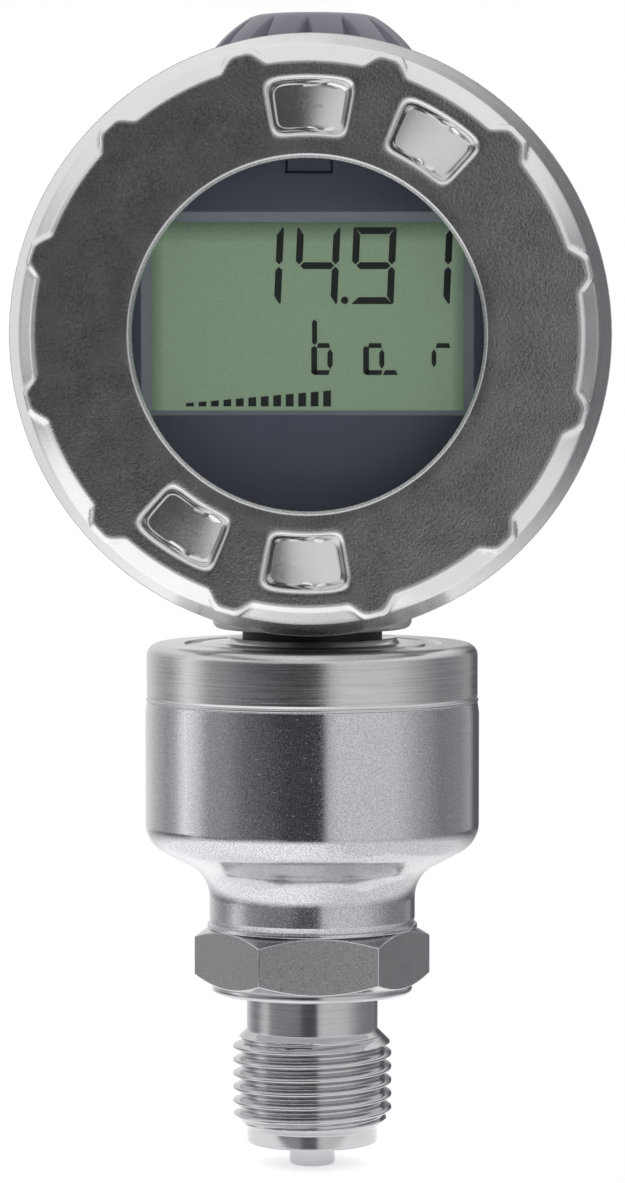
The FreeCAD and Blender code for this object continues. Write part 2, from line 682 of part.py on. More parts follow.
def sensor_cell():
    """Steel cell that the process pressure reaches, with a flange and a header for its pins."""
    recess = cell_bottom + DIAPHRAGM_THICKNESS
    cell = turned([
        (DIAPHRAGM_DIAMETER / 2 + FIT_CLEARANCE, cell_bottom),
        (CELL_DIAMETER / 2, cell_bottom),
        (CELL_DIAMETER / 2, cell_seat),
        (CELL_FLANGE_DIAMETER / 2, cell_seat),
        (CELL_FLANGE_DIAMETER / 2, clamp_ring_bottom),
        (CELL_HEADER_DIAMETER / 2, clamp_ring_bottom),
        (CELL_HEADER_DIAMETER / 2, header_top),
        (0, header_top),
        (0, recess),
        (DIAPHRAGM_DIAMETER / 2 + FIT_CLEARANCE, recess),
    ])
    for pin in header_pin_rods(HEADER_PIN_DIAMETER, clamp_ring_bottom, header_top + 1):
        cell = cell.cut(pin)
    return cell


def header_pin_rods(diameter, bottom, top):
    """The ring of contact pins that stands on the measuring cell."""
    pin = rod(diameter, bottom, top, FreeCAD.Vector(HEADER_PIN_CIRCLE / 2, 0, 0))
    return around(pin, HEADER_PIN_COUNT, FreeCAD.Vector(0, 0, 0), Z_AXIS)


def header_pins():
    """Contact pins from the cell up through the sensor board."""
    top = header_top + HEADER_PIN_LENGTH
    return Part.makeCompound(header_pin_rods(HEADER_PIN_DIAMETER, clamp_ring_bottom, top))


def sensor_diaphragm():
    """Thin isolating disc under the cell."""
    return rod(DIAPHRAGM_DIAMETER, cell_bottom, cell_bottom + DIAPHRAGM_THICKNESS)


def cell_o_ring():
    """Face seal between the connection's stub and the cell."""
    return o_ring(CELL_SEAL_DIAMETER, CELL_SEAL_SECTION, cell_bottom - CELL_SEAL_SECTION / 2)


def cell_clamp_ring():
    """Screwed ring that holds the cell down by its flange."""
    outer = cell_seat_diameter - 2 * FIT_CLEARANCE
    ring = turned([
        (CELL_HEADER_DIAMETER / 2 + FIT_CLEARANCE, clamp_ring_bottom),
        (outer / 2, clamp_ring_bottom),
        (outer / 2, clamp_ring_top),
        (CELL_HEADER_DIAMETER / 2 + FIT_CLEARANCE, clamp_ring_top),
    ])
    slot_floor = clamp_ring_top - LOCKNUT_SLOT_DEPTH
    slot = block(outer + 2, LOCKNUT_SLOT_WIDTH, LOCKNUT_SLOT_DEPTH, (0, 0), slot_floor)
    return ring.cut(slot)


def board_spacer():
    """Plastic ring that carries the sensor board."""
    return tube(spacer_diameter, spacer_diameter - 2 * SPACER_WALL, cavity_step, sensor_board_bottom)


def sensor_board():
    """Round circuit board, drilled for the cell's pins."""
    board = rod(sensor_board_diameter, sensor_board_bottom, sensor_board_top)
    hole = HEADER_PIN_DIAMETER + 2 * SCREW_HOLE_CLEARANCE
    for pin in header_pin_rods(hole, sensor_board_bottom - 1, sensor_board_top + 1):
        board = board.cut(pin)
    return board


def sensor_chips():
    """Signal processor, reference and memory on the sensor board."""
    chips = []
    for width, depth, height, across, along in SENSOR_CHIPS:
        chips.append(block(width, depth, height, (across, along), sensor_board_top))
    return Part.makeCompound(chips)


def sensor_socket():
    """Plug socket in the middle of the sensor board."""
    size = SENSOR_SOCKET_SIZE
    socket = block(size, size, SENSOR_SOCKET_HEIGHT, (0, 0), sensor_board_top)
    well_floor = sensor_socket_top - SENSOR_SOCKET_WELL
    well = rod(CABLE_DIAMETER + 2 * SCREW_HOLE_CLEARANCE, well_floor, sensor_socket_top + 1)
    return socket.cut(well)


def stop_washer():
    """Washer keyed on the turret. Its tab meets the head's stop pin at both ends of the swivel."""
    pin_half_angle = math.degrees(math.asin(STOP_PIN_DIAMETER / 2 / STOP_PIN_RADIUS))
    tab_half_angle = 180.0 - SWIVEL_RANGE - pin_half_angle - STOP_PLAY_ANGLE
    top = locknut_bottom
    ring = rod(LOCKNUT_DIAMETER, stop_washer_bottom, top)
    base = FreeCAD.Vector(0, 0, stop_washer_bottom)
    tab = Part.makeCylinder(STOP_TAB_RADIUS, STOP_WASHER_THICKNESS, base, Z_AXIS, 2 * tab_half_angle)
    tab.rotate(FreeCAD.Vector(0, 0, 0), Z_AXIS, -90.0 - tab_half_angle)
    bore = rod(TURRET_DIAMETER + 2 * FIT_CLEARANCE, stop_washer_bottom - 1, top + 1)
    return ring.fuse(tab).cut(bore).removeSplitter()


def swivel_locknut():
    """Slotted ring nut on the turret, which keeps the head on the capsule."""
    nut = tube(LOCKNUT_DIAMETER, TURRET_DIAMETER + 2 * FIT_CLEARANCE, locknut_bottom, turret_top)
    slot_floor = turret_top - LOCKNUT_SLOT_DEPTH
    for turn in (0, 90):
        slot = block(LOCKNUT_DIAMETER + 2, LOCKNUT_SLOT_WIDTH, LOCKNUT_SLOT_DEPTH + 1, (0, 0), slot_floor)
        slot.rotate(FreeCAD.Vector(0, 0, 0), Z_AXIS, turn)
        nut = nut.cut(slot)
    return nut


def stop_pin():
    """Pin pressed into the head's seat, behind the turret."""
    base = FreeCAD.Vector(0, STOP_PIN_RADIUS, 0)
    return rod(STOP_PIN_DIAMETER, seat_top - STOP_PIN_DEPTH, seat_top + STOP_PIN_HEIGHT, base)


def sensor_cable():
    """Round lead up the turret's bore, from the sensor board's socket to the electronics module."""
    return rod(CABLE_DIAMETER, sensor_socket_top - CABLE_ENTRY, turret_top + CABLE_RISE)


def sensor_plug():
    """Plug under the electronics module, where the sensor lead ends."""
    return block(SENSOR_PLUG_WIDTH, SENSOR_PLUG_DEPTH, SENSOR_PLUG_HEIGHT, (0, 0), turret_top + CABLE_RISE)


def head_turned(corners):
    """Solid of revolution of (radius, depth) corners about the head's axis."""
    return turned(corners, head_centre, Y_AXIS)


def head_rod(diameter, front, back):
    """Cylinder on the head's axis."""
    return rod(diameter, front, back, head_centre, Y_AXIS)


def knob_line():
    """Point on the knob's axis at height zero."""
    return FreeCAD.Vector(0, KNOB_OFFSET, 0)


def terminal_point(side):
    """Middle of the earth terminal (side -1) or of the vent (side 1), at depth zero."""
    return head_centre + FreeCAD.Vector(side * TERMINAL_OFFSET, 0, -TERMINAL_DROP)


def post_points():
    """Where the module screws stand on the head's face."""
    return [face_point(post_circle / 2, angle, 0) for angle in POST_ANGLES]


def back_boss(diameter, face, middle):
    """Round boss on the back of the head, with a fillet at its foot and a soft rim."""
    radius = diameter / 2
    return turned([
        (0, CAVITY_BACK),
        (radius + BOSS_FILLET, CAVITY_BACK),
        (radius + BOSS_FILLET, BARREL_BACK),
        (radius, BARREL_BACK, BOSS_FILLET),
        (radius, face, BOSS_EDGE_RADIUS),
        (0, face),
    ], middle, Y_AXIS)


def housing_outside():
    """Flange, barrel and rounded back, with the foot and the bosses that stand out of them."""
    body = head_turned([
        (0, HOUSING_MOUTH_FRONT),
        (cover_thread_diameter / 2 - EDGE_BREAK, HOUSING_MOUTH_FRONT),
        (cover_thread_diameter / 2, HOUSING_MOUTH_FRONT + EDGE_BREAK),
        (cover_thread_diameter / 2, FLANGE_FRONT),
        (flange_diameter / 2, FLANGE_FRONT),
        (flange_diameter / 2, flange_back, FLANGE_EDGE_RADIUS),
        (barrel_diameter / 2, flange_back + EDGE_BREAK, EDGE_BREAK),
        (barrel_back_diameter / 2, BARREL_BACK, BARREL_BACK_FILLET),
        (0, BARREL_BACK),
    ])
    foot = turned([
        (0, foot_bottom),
        (FOOT_DIAMETER / 2, foot_bottom, FOOT_EDGE_RADIUS),
        (FOOT_DIAMETER / 2, head_height - cavity_diameter / 3),
        (0, head_height - cavity_diameter / 3),
    ])
    knob_boss = rod(KNOB_BOSS_DIAMETER, head_height, knob_seat, knob_line())
    connector_boss = back_boss(CONNECTOR_BOSS_DIAMETER, connector_face, head_centre)
    earth_boss = back_boss(TERMINAL_BOSS_DIAMETER, terminal_face, terminal_point(-1))
    vent_boss = back_boss(TERMINAL_BOSS_DIAMETER, terminal_face, terminal_point(1))
    seat_cut = rod(KNOB_BOSS_DIAMETER, knob_seat, knob_top, knob_line())
    body = body.fuse([foot, knob_boss, connector_boss, earth_boss, vent_boss]).removeSplitter()
    return body.cut(seat_cut)


def housing_inside():
    """The space that the electronics fill, less the seats that stand up in it."""
    space = head_turned([
        (0, HOUSING_MOUTH_FRONT - 1),
        (housing_mouth_diameter / 2, HOUSING_MOUTH_FRONT - 1),
        (housing_mouth_diameter / 2, FLANGE_FRONT + HOUSING_MOUTH_LIP),
        (cavity_diameter / 2, FLANGE_FRONT + HOUSING_MOUTH_LIP),
        (cavity_diameter / 2, CAVITY_BACK, CAVITY_FILLET),
        (0, CAVITY_BACK),
    ])
    seat = rod(SEAT_DIAMETER, foot_bottom, seat_top)
    display_space = display_board_back + DISPLAY_BACK_CLEARANCE
    seat = seat.cut(head_rod(housing_mouth_diameter, HOUSING_MOUTH_FRONT, display_space))
    encoder_pad = rod(ENCODER_SEAT_DIAMETER, encoder_seat, knob_seat, knob_line())
    space = space.cut(seat).cut(encoder_pad)
    for post in post_points():
        space = space.cut(rod(POST_DIAMETER, post_front, CAVITY_BACK + 1, post, Y_AXIS))
    return space


def housing():
    """Head casting: one shell with its bored seats."""
    shell = housing_outside().cut(housing_inside())
    pin = FreeCAD.Vector(0, STOP_PIN_RADIUS, 0)
    stem_bore = CONNECTOR_STEM_DIAMETER + 2 * CONNECTOR_STEM_CLEARANCE
    vent_bore = VENT_STEM_DIAMETER + 2 * FIT_CLEARANCE
    earth_bore = EARTH_SCREW_DIAMETER + 2 * FIT_CLEARANCE
    drillings = [
        rod(TURRET_DIAMETER + 2 * SWIVEL_CLEARANCE, foot_bottom - 1, seat_top + 1),
        rod(STOP_PIN_DIAMETER, seat_top - STOP_PIN_DEPTH, seat_top + 1, pin),
        rod(BUSHING_DIAMETER + 2 * BUSHING_CLEARANCE, encoder_seat - 1, knob_seat + 1, knob_line()),
        rod(stem_bore, CAVITY_BACK - 1, connector_face + 1, head_centre, Y_AXIS),
        rod(vent_bore, CAVITY_BACK - 1, terminal_face + 1, terminal_point(1), Y_AXIS),
        rod(earth_bore, terminal_face - EARTH_SCREW_DEPTH, terminal_face + 1, terminal_point(-1), Y_AXIS),
    ]
    screw_bore = MODULE_SCREW_DIAMETER + 2 * FIT_CLEARANCE
    for post in post_points():
        drillings.append(rod(screw_bore, post_front - 1, CAVITY_BACK + 1, post, Y_AXIS))
    return shell.cut(drillings)


def tooth_wire(depth, growth):
    """Outline of one grip tooth at the top of the cover: a tongue with a round tip, grown by a draft."""
    root = cover_face_diameter / 2 - TOOTH_OVERLAP
    tip = tooth_reach_diameter / 2 + growth
    corner = tip - TOOTH_TIP_ROUNDING - growth / 2
    root_half = TOOTH_ROOT_HALF_ANGLE + math.degrees(growth / root) / 3
    tip_half = TOOTH_TIP_HALF_ANGLE + math.degrees(growth / tip)
    crest = Part.Arc(
        face_point(corner, tip_half, depth), face_point(tip, 0, depth), face_point(corner, -tip_half, depth)
    ).toShape()
    return Part.Wire([
        arc_edge(root, -root_half, root_half, depth),
        Part.makeLine(face_point(root, root_half, depth), face_point(corner, tip_half, depth)),
        crest,
        Part.makeLine(face_point(corner, -tip_half, depth), face_point(root, -root_half, depth)),
    ])


def cover_teeth():
    """The ring of grip teeth that stand out over the cover's bevel."""
    outlines = [tooth_wire(COVER_FRONT, 0.0), tooth_wire(COVER_FRONT + TOOTH_DEPTH, TOOTH_DRAFT)]
    tooth = Part.makeLoft(outlines, True, True)
    half_spacing = 180.0 / TOOTH_COUNT
    return around(tooth, TOOTH_COUNT, head_centre, Y_AXIS, COVER_CLOCKING + half_spacing)


def pocket_wire(angle, depth, shrink):
    """Outline of one key pocket in the cover's face: a sector with radial sides."""
    inner = pocket_inner_diameter / 2 + shrink
    outer = pocket_outer_diameter / 2 - shrink
    inner_half = POCKET_HALF_ANGLE - math.degrees(shrink / inner)
    outer_half = POCKET_HALF_ANGLE - math.degrees(shrink / outer)
    edges = [
        arc_edge(outer, angle - outer_half, angle + outer_half, depth),
        arc_edge(inner, angle + inner_half, angle - inner_half, depth),
    ]
    for side in (1, -1):
        outer_corner = face_point(outer, angle + side * outer_half, depth)
        inner_corner = face_point(inner, angle + side * inner_half, depth)
        edges.append(Part.makeLine(outer_corner, inner_corner))
    return Part.Wire(Part.__sortEdges__(edges))


def cover_ring():
    """Cast screw cover: bevelled rim with grip teeth, key pockets, the window and a deep threaded skirt."""
    thread_bore = cover_thread_diameter / 2 + THREAD_CLEARANCE
    seal_inner = (cover_seal_diameter - COVER_SEAL_SECTION) / 2 - FIT_CLEARANCE
    seal_outer = (cover_seal_diameter + COVER_SEAL_SECTION) / 2 + FIT_CLEARANCE
    groove_floor = cover_back + COVER_SEAL_LIFT - COVER_SEAL_SECTION - FIT_CLEARANCE
    bevel_run = (cover_shoulder_diameter - cover_face_diameter) / 2
    bevel_back = COVER_FRONT + bevel_run * math.tan(math.radians(COVER_BEVEL_ANGLE))
    rim = head_turned([
        (window_diameter / 2, COVER_FRONT + WINDOW_EDGE_CHAMFER),
        (window_diameter / 2 + WINDOW_EDGE_CHAMFER, COVER_FRONT),
        (cover_face_diameter / 2, COVER_FRONT),
        (cover_shoulder_diameter / 2, bevel_back, COVER_SHOULDER_RADIUS),
        (COVER_DIAMETER / 2, cover_back),
        (seal_outer, cover_back),
        (seal_outer, groove_floor),
        (seal_inner, groove_floor),
        (seal_inner, cover_back),
        (thread_bore, cover_back),
        (thread_bore, retainer_back),
        (retainer_diameter / 2 + FIT_CLEARANCE, retainer_back),
        (retainer_diameter / 2 + FIT_CLEARANCE, glass_back),
        (glass_diameter / 2 + GLASS_CLEARANCE, glass_back),
        (glass_diameter / 2 + GLASS_CLEARANCE, glass_gasket_front),
        (window_diameter / 2, glass_gasket_front),
    ])
    ring = rim.fuse(cover_teeth()).removeSplitter()
    first_tooth = COVER_CLOCKING + 180.0 / TOOTH_COUNT
    for side in (0, 180):
        for spread in (-POCKET_SPREAD, POCKET_SPREAD):
            angle = first_tooth + side + spread
            mouth = pocket_wire(angle, COVER_FRONT, 0.0)
            floor = pocket_wire(angle, COVER_FRONT + POCKET_DEPTH, POCKET_DRAFT)
            ring = ring.cut(Part.makeLoft([mouth, floor], True, True))
    return ring


def cover_glass():
    """Flat safety glass."""
    chamfer = EDGE_BREAK
    radius = glass_diameter / 2
    return head_turned([
        (0, glass_front),
        (radius - chamfer, glass_front),
        (radius, glass_front + chamfer),
        (radius, glass_back - chamfer),
        (radius - chamfer, glass_back),
        (0, glass_back),
    ])


def glass_gasket():
    """Flat seal between the glass and the cover's lip."""
    bore = window_diameter + GLASS_GASKET_LAP
    return tube(glass_diameter, bore, glass_gasket_front, glass_front, head_centre, Y_AXIS)


def glass_retaining_ring():
    """Threaded ring that presses the glass home, with two slots for its key."""
    ring = tube(retainer_diameter, retainer_bore, glass_back, retainer_back, head_centre, Y_AXIS)
    slot_floor = retainer_back - RETAINER_SLOT_DEPTH
    slot = panel(retainer_diameter + 2, RETAINER_SLOT_WIDTH, slot_floor, retainer_back + 1, head_height)
    return ring.cut(slot)


def cover_o_ring():
    """Seal in the back of the cover, which travels with it."""
    middle = cover_back + COVER_SEAL_LIFT - COVER_SEAL_SECTION / 2
    return o_ring(cover_seal_diameter, COVER_SEAL_SECTION, middle, head_centre, Y_AXIS)


def screen_cutter(front, back):
    """Frustum that bevels the screen's opening: wide at the display's face, the screen's size behind."""
    wires = []
    for depth, bevel, lower in ((front, SCREEN_BEVEL, SCREEN_LOWER_BEVEL), (back, 0.0, 0.0)):
        half = screen_width / 2 + bevel
        top = screen_height + SCREEN_HEIGHT / 2 + bevel
        bottom = screen_height - SCREEN_HEIGHT / 2 - lower
        points = [
            FreeCAD.Vector(-half, depth, bottom),
            FreeCAD.Vector(half, depth, bottom),
            FreeCAD.Vector(half, depth, top),
            FreeCAD.Vector(-half, depth, top),
            FreeCAD.Vector(-half, depth, bottom),
        ]
        wires.append(Part.makePolygon(points))
    return Part.makeLoft(wires, True, True)


def display_bezel():
    """Moulded cup of the display module, with the screen's bevelled opening and the latch's slot."""
    radius = display_diameter / 2
    inside = radius - DISPLAY_SKIRT_WALL
    cup = head_turned([
        (0, DISPLAY_FRONT),
        (radius, DISPLAY_FRONT, DISPLAY_EDGE_RADIUS),
        (radius, display_board_back),
        (inside, display_board_back),
        (inside, lcd_front),
        (0, lcd_front),
    ])
    slot = panel(LATCH_WIDTH, LATCH_HEIGHT, DISPLAY_FRONT - 1, lcd_front + 1, latch_height)
    return cup.cut(screen_cutter(DISPLAY_FRONT, lcd_front)).cut(slot)


def display_latch():
    """Spring tongue in the display's slot, with its leg behind the face."""
    front = DISPLAY_FRONT + LATCH_RECESS
    width = LATCH_WIDTH - 2 * LATCH_GAP
    tongue = panel(width, LATCH_HEIGHT - 2 * LATCH_GAP, front, lcd_front, latch_height)
    leg_back = lcd_front + LATCH_LEG_THICKNESS
    leg_width = LATCH_WIDTH + 2 * LATCH_LEG_MARGIN
    leg_height = latch_height + LATCH_LEG_MARGIN / 2
    leg = panel(leg_width, LATCH_HEIGHT + LATCH_LEG_MARGIN, lcd_front, leg_back, leg_height)
    return tongue.fuse(leg).removeSplitter()


def lcd_glass():
    """Liquid-crystal cell behind the screen's opening."""
    width = screen_width + 2 * LCD_MARGIN
    return panel(width, SCREEN_HEIGHT + 2 * LCD_MARGIN, lcd_front, lcd_back, screen_height)


def lcd_reflector():
    """Reflector film on the back of the cell."""
    width = screen_width + REFLECTOR_MARGIN
    return panel(width, SCREEN_HEIGHT - REFLECTOR_MARGIN, lcd_back, reflector_back, screen_height)


def light_guide():
    """Clear block that spreads the back light between board and reflector."""
    width = screen_width + REFLECTOR_MARGIN
    return panel(width, SCREEN_HEIGHT - REFLECTOR_MARGIN, reflector_back, display_board_front, screen_height)


def contact_strips():
    """Rubber connectors above and below the light guide, from the board to the cell's edge."""
    offset = (SCREEN_HEIGHT - REFLECTOR_MARGIN) / 2 + CONTACT_STRIP_GAP + CONTACT_STRIP_THICKNESS / 2
    strips = []
    for height in (screen_height - offset, screen_height + offset):
        strips.append(panel(screen_width, CONTACT_STRIP_THICKNESS, lcd_back, display_board_front, height))
    return Part.makeCompound(strips)


def display_board():
    """Round circuit board that closes the display module."""
    diameter = display_diameter - 2 * DISPLAY_SKIRT_WALL - 2 * SCREW_HOLE_CLEARANCE
    return head_rod(diameter, display_board_front, display_board_back)


def display_plug():
    """Header that plugs the display on the main board."""
    height = head_height - DISPLAY_PLUG_DROP
    return panel(DISPLAY_PLUG_WIDTH, DISPLAY_PLUG_HEIGHT, display_board_back, MAIN_BOARD_FRONT, height)


def module_outline(diameter, front, back, inset=0.0):
    """Round slab with an upper and a lower flat, as the electronics module has."""
    slab = head_rod(diameter, front, back)
    low = module_bottom + inset
    high = module_top - inset
    keep = Part.makeBox(diameter + 2, back - front, high - low, FreeCAD.Vector(-diameter / 2 - 1, front, low))
    return slab.common(keep)


def electronics_pot():
    """Plastic cup of the electronics module, screwed to the posts in the back of the housing."""
    floor = module_back - MODULE_WALL
    cup = module_outline(module_diameter, MODULE_FRONT, module_back)
    cup = cup.cut(module_outline(module_diameter - 2 * MODULE_WALL, MODULE_FRONT - 1, floor, MODULE_WALL))
    screw_hole = MODULE_SCREW_DIAMETER + 2 * SCREW_HOLE_CLEARANCE
    for post in post_points():
        cup = cup.cut(rod(screw_hole, floor - 1, module_back + 1, post, Y_AXIS))
    return cup


def module_screws():
    """Pan-head screws through the module's floor into the posts."""
    seat = module_back - MODULE_WALL
    screws = []
    for post in post_points():
        head = rod(MODULE_SCREW_HEAD_DIAMETER, seat - MODULE_SCREW_HEAD_HEIGHT, seat, post, Y_AXIS)
        shank = rod(MODULE_SCREW_DIAMETER, seat, seat + MODULE_SCREW_LENGTH, post, Y_AXIS)
        screws.append(head.fuse(shank))
    return Part.makeCompound(screws)


def board_standoffs():
    """Three sleeves between the module's floor and the main board."""
    sleeves = []
    for angle in STANDOFF_ANGLES:
        base = face_point(standoff_circle / 2, angle, 0)
        sleeves.append(rod(STANDOFF_DIAMETER, main_board_back, module_back - MODULE_WALL, base, Y_AXIS))
    return Part.makeCompound(sleeves)


def main_board():
    """Main circuit board across the mouth of the electronics module."""
    inset = MODULE_WALL + MAIN_BOARD_MARGIN
    return module_outline(module_diameter - 2 * inset, MAIN_BOARD_FRONT, main_board_back, inset)


def main_board_parts():
    """Processor, converter and two capacitors on the back of the main board."""
    parts = []
    for width, height, thickness, rise, across in MAIN_BOARD_CHIPS:
        back = main_board_back + thickness
        parts.append(panel(width, height, main_board_back, back, head_height + rise, across))
    back = main_board_back + CAPACITOR_LENGTH
    for across in (-CAPACITOR_OFFSET, CAPACITOR_OFFSET):
        base = head_centre + FreeCAD.Vector(across, 0, -CAPACITOR_DROP)
        parts.append(rod(CAPACITOR_DIAMETER, main_board_back, back, base, Y_AXIS))
    return Part.makeCompound(parts)


def supply_socket():
    """Socket on the back of the module, which takes the rear connector's contacts."""
    back = connector_stem_front - SUPPLY_SOCKET_GAP
    hole_floor = module_back + SUPPLY_SOCKET_FLOOR
    socket = panel(SUPPLY_SOCKET_WIDTH, SUPPLY_SOCKET_HEIGHT, module_back, back, head_height)
    hole = CONTACT_DIAMETER + 2 * SCREW_HOLE_CLEARANCE
    for contact in contact_rods(hole, hole_floor, connector_stem_front):
        socket = socket.cut(contact)
    return socket


def hollow_hex(across_flats, bore, front, back):
    """Chamfered hexagon nut on the head's axis."""
    nut = hexagon(across_flats, front, back, head_centre, Y_AXIS)
    nut = nut.common(chamfered_hex_limit(across_flats, front, back, head_centre, Y_AXIS))
    return nut.cut(head_rod(bore, front - 1, back + 1))


def connector_shell():
    """Metal body of the rear plug connector: hexagon, threaded nose and the stem through the housing."""
    nose = CONNECTOR_THREAD_DIAMETER / 2
    stem = CONNECTOR_STEM_DIAMETER / 2
    body = head_turned([
        (0, connector_stem_front),
        (stem, connector_stem_front),
        (stem, connector_flange_back),
        (nose, connector_flange_back),
        (nose, connector_end - CONNECTOR_THREAD_CHAMFER),
        (nose - CONNECTOR_THREAD_CHAMFER, connector_end),
        (0, connector_end),
    ])
    flats = (CONNECTOR_HEX_ACROSS_FLATS, connector_flange_front, connector_flange_back, head_centre, Y_AXIS)
    body = body.fuse(hexagon(*flats).common(chamfered_hex_limit(*flats))).removeSplitter()
    body = body.cut(head_rod(CONNECTOR_BORE, connector_bore_floor, connector_end + 1))
    return body.cut(head_rod(CONNECTOR_STEM_BORE, connector_stem_front - 1, connector_bore_floor))


def contact_rods(diameter, front, back):
    """The four contacts of the rear connector, at 45 degrees to the frame."""
    offset = CONTACT_CIRCLE / 2
    contact = rod(diameter, front, back, head_centre + FreeCAD.Vector(offset, 0, 0), Y_AXIS)
    return around(contact, CONTACT_COUNT, head_centre, Y_AXIS, CONTACT_CLOCKING)


def connector_insert():
    """Plastic contact carrier in the connector, with its coding key."""
    carrier = head_rod(CONNECTOR_BORE - 2 * FIT_CLEARANCE, connector_bore_floor, insert_back)
    plug_front = connector_stem_front + INSERT_RECESS
    plug = head_rod(CONNECTOR_STEM_BORE - 2 * FIT_CLEARANCE, plug_front, connector_bore_floor)
    key_height = head_height + CONNECTOR_BORE / 2 - INSERT_KEY_HEIGHT / 2 - INSERT_KEY_GAP
    key = panel(INSERT_KEY_WIDTH, INSERT_KEY_HEIGHT, insert_back, contact_end, key_height)
    carrier = carrier.fuse(plug).fuse(key).removeSplitter()
    for contact in contact_rods(CONTACT_DIAMETER + 2 * CONTACT_FIT, connector_stem_front, insert_back + 1):
        carrier = carrier.cut(contact)
    return carrier


def connector_contacts():
    """Four pins, from the module's socket to the mouth of the connector."""
    front = module_back + SUPPLY_SOCKET_FLOOR + CONTACT_GAP
    return Part.makeCompound(contact_rods(CONTACT_DIAMETER, front, contact_end))


def connector_gasket():
    """Flat seal under the connector's hexagon."""
    inner = CONNECTOR_STEM_DIAMETER + 2 * CONNECTOR_STEM_CLEARANCE
    return tube(CONNECTOR_SEAL_DIAMETER, inner, connector_face, connector_flange_front, head_centre, Y_AXIS)


def connector_locknut():
    """Hexagon nut that holds the connector from inside the housing."""
    front = CAVITY_BACK - CONNECTOR_LOCKNUT_HEIGHT
    bore = CONNECTOR_STEM_DIAMETER + 2 * FIT_CLEARANCE
    return hollow_hex(CONNECTOR_LOCKNUT_ACROSS_FLATS, bore, front, CAVITY_BACK)


def earth_screw():
    """Slotted screw of the earth terminal."""
    tip = terminal_face - EARTH_SCREW_DEPTH + EARTH_SCREW_TIP_GAP
    seat = terminal_face + EARTH_CLAMP_THICKNESS
    top = seat + EARTH_SCREW_HEAD_HEIGHT
    slot_floor = top - EARTH_SCREW_SLOT_DEPTH
    screw = turned([
        (0, tip),
        (EARTH_SCREW_DIAMETER / 2, tip),
        (EARTH_SCREW_DIAMETER / 2, seat),
        (EARTH_SCREW_HEAD_DIAMETER / 2, seat),
        (EARTH_SCREW_HEAD_DIAMETER / 2, top, TERMINAL_EDGE_RADIUS),
        (0, top),
    ], terminal_point(-1), Y_AXIS)
    width = EARTH_SCREW_HEAD_DIAMETER + 2
    return screw.cut(panel(width, EARTH_SCREW_SLOT, slot_floor, top + 1, terminal_height, -TERMINAL_OFFSET))


def earth_clamp():
    """Saddle washer with two upturned edges that trap the earth wire."""
    size = EARTH_CLAMP_WIDTH
    lip_back = terminal_face + EARTH_CLAMP_LIP_HEIGHT
    plate_back = terminal_face + EARTH_CLAMP_THICKNESS
    clamp = panel(size, size, terminal_face, plate_back, terminal_height, -TERMINAL_OFFSET)
    for side in (-1, 1):
        across = -TERMINAL_OFFSET + side * (size - EARTH_CLAMP_THICKNESS) / 2
        lip = panel(EARTH_CLAMP_THICKNESS, size, terminal_face, lip_back, terminal_height, across)
        clamp = clamp.fuse(lip)
    bore_diameter = EARTH_SCREW_DIAMETER + 2 * SCREW_HOLE_CLEARANCE
    bore = rod(bore_diameter, terminal_face - 1, lip_back + 1, terminal_point(-1), Y_AXIS)
    return clamp.removeSplitter().cut(bore)


def vent_plug():
    """Vent cap with notched edge and a bored stem, for the reference pressure."""
    base = terminal_point(1)
    top = terminal_face + VENT_HEIGHT
    stem_front = terminal_face - VENT_STEM_LENGTH
    rim = base + FreeCAD.Vector(VENT_DIAMETER / 2, 0, 0)
    plug = turned([
        (VENT_BORE / 2, stem_front),
        (VENT_STEM_DIAMETER / 2, stem_front),
        (VENT_STEM_DIAMETER / 2, terminal_face),
        (VENT_DIAMETER / 2, terminal_face),
        (VENT_DIAMETER / 2, top, TERMINAL_EDGE_RADIUS),
        (0, top),
        (0, top - VENT_ROOF),
        (VENT_BORE / 2, top - VENT_ROOF),
    ], base, Y_AXIS)
    notch = rod(VENT_NOTCH_WIDTH, terminal_face + VENT_NOTCH_FOOT, top + 1, rim, Y_AXIS)
    return plug.cut(around(notch, VENT_NOTCH_COUNT, base, Y_AXIS, VENT_NOTCH_CLOCKING))


def vent_membrane():
    """Breathable disc in the vent's bore."""
    back = terminal_face + VENT_HEIGHT - VENT_ROOF
    diameter = VENT_BORE - 2 * CONTACT_FIT
    return rod(diameter, back - VENT_MEMBRANE_THICKNESS, back, terminal_point(1), Y_AXIS)


def encoder_body():
    """Push encoder: a square body under the housing's roof, with its threaded bushing through it."""
    axis = knob_line()
    body = block(ENCODER_WIDTH, ENCODER_DEPTH, ENCODER_HEIGHT, (0, KNOB_OFFSET), encoder_bottom)
    bushing = rod(BUSHING_DIAMETER, encoder_seat, bushing_top, axis)
    chamber = rod(ENCODER_CHAMBER_DIAMETER, chamber_floor, chamber_roof, axis)
    bore = rod(SPINDLE_DIAMETER + 2 * SPINDLE_FIT, chamber_roof - 1, bushing_top + 1, axis)
    return body.fuse(bushing).cut(chamber).cut(bore).removeSplitter()


def encoder_nut():
    """Hexagon nut that holds the encoder's bushing on the knob seat."""
    axis = knob_line()
    top = knob_seat + ENCODER_NUT_HEIGHT
    nut = hexagon(ENCODER_NUT_ACROSS_FLATS, knob_seat, top, axis)
    nut = nut.common(chamfered_hex_limit(ENCODER_NUT_ACROSS_FLATS, knob_seat, top, axis))
    return nut.cut(rod(BUSHING_DIAMETER + 2 * FIT_CLEARANCE, knob_seat - 1, top + 1, axis))


def encoder_rotor():
    """Ring in the encoder that turns with the spindle while the spindle slides through it."""
    bore = SPINDLE_DIAMETER + 2 * SPINDLE_FIT
    return tube(ROTOR_DIAMETER, bore, rotor_bottom, rotor_bottom + ROTOR_HEIGHT, knob_line())


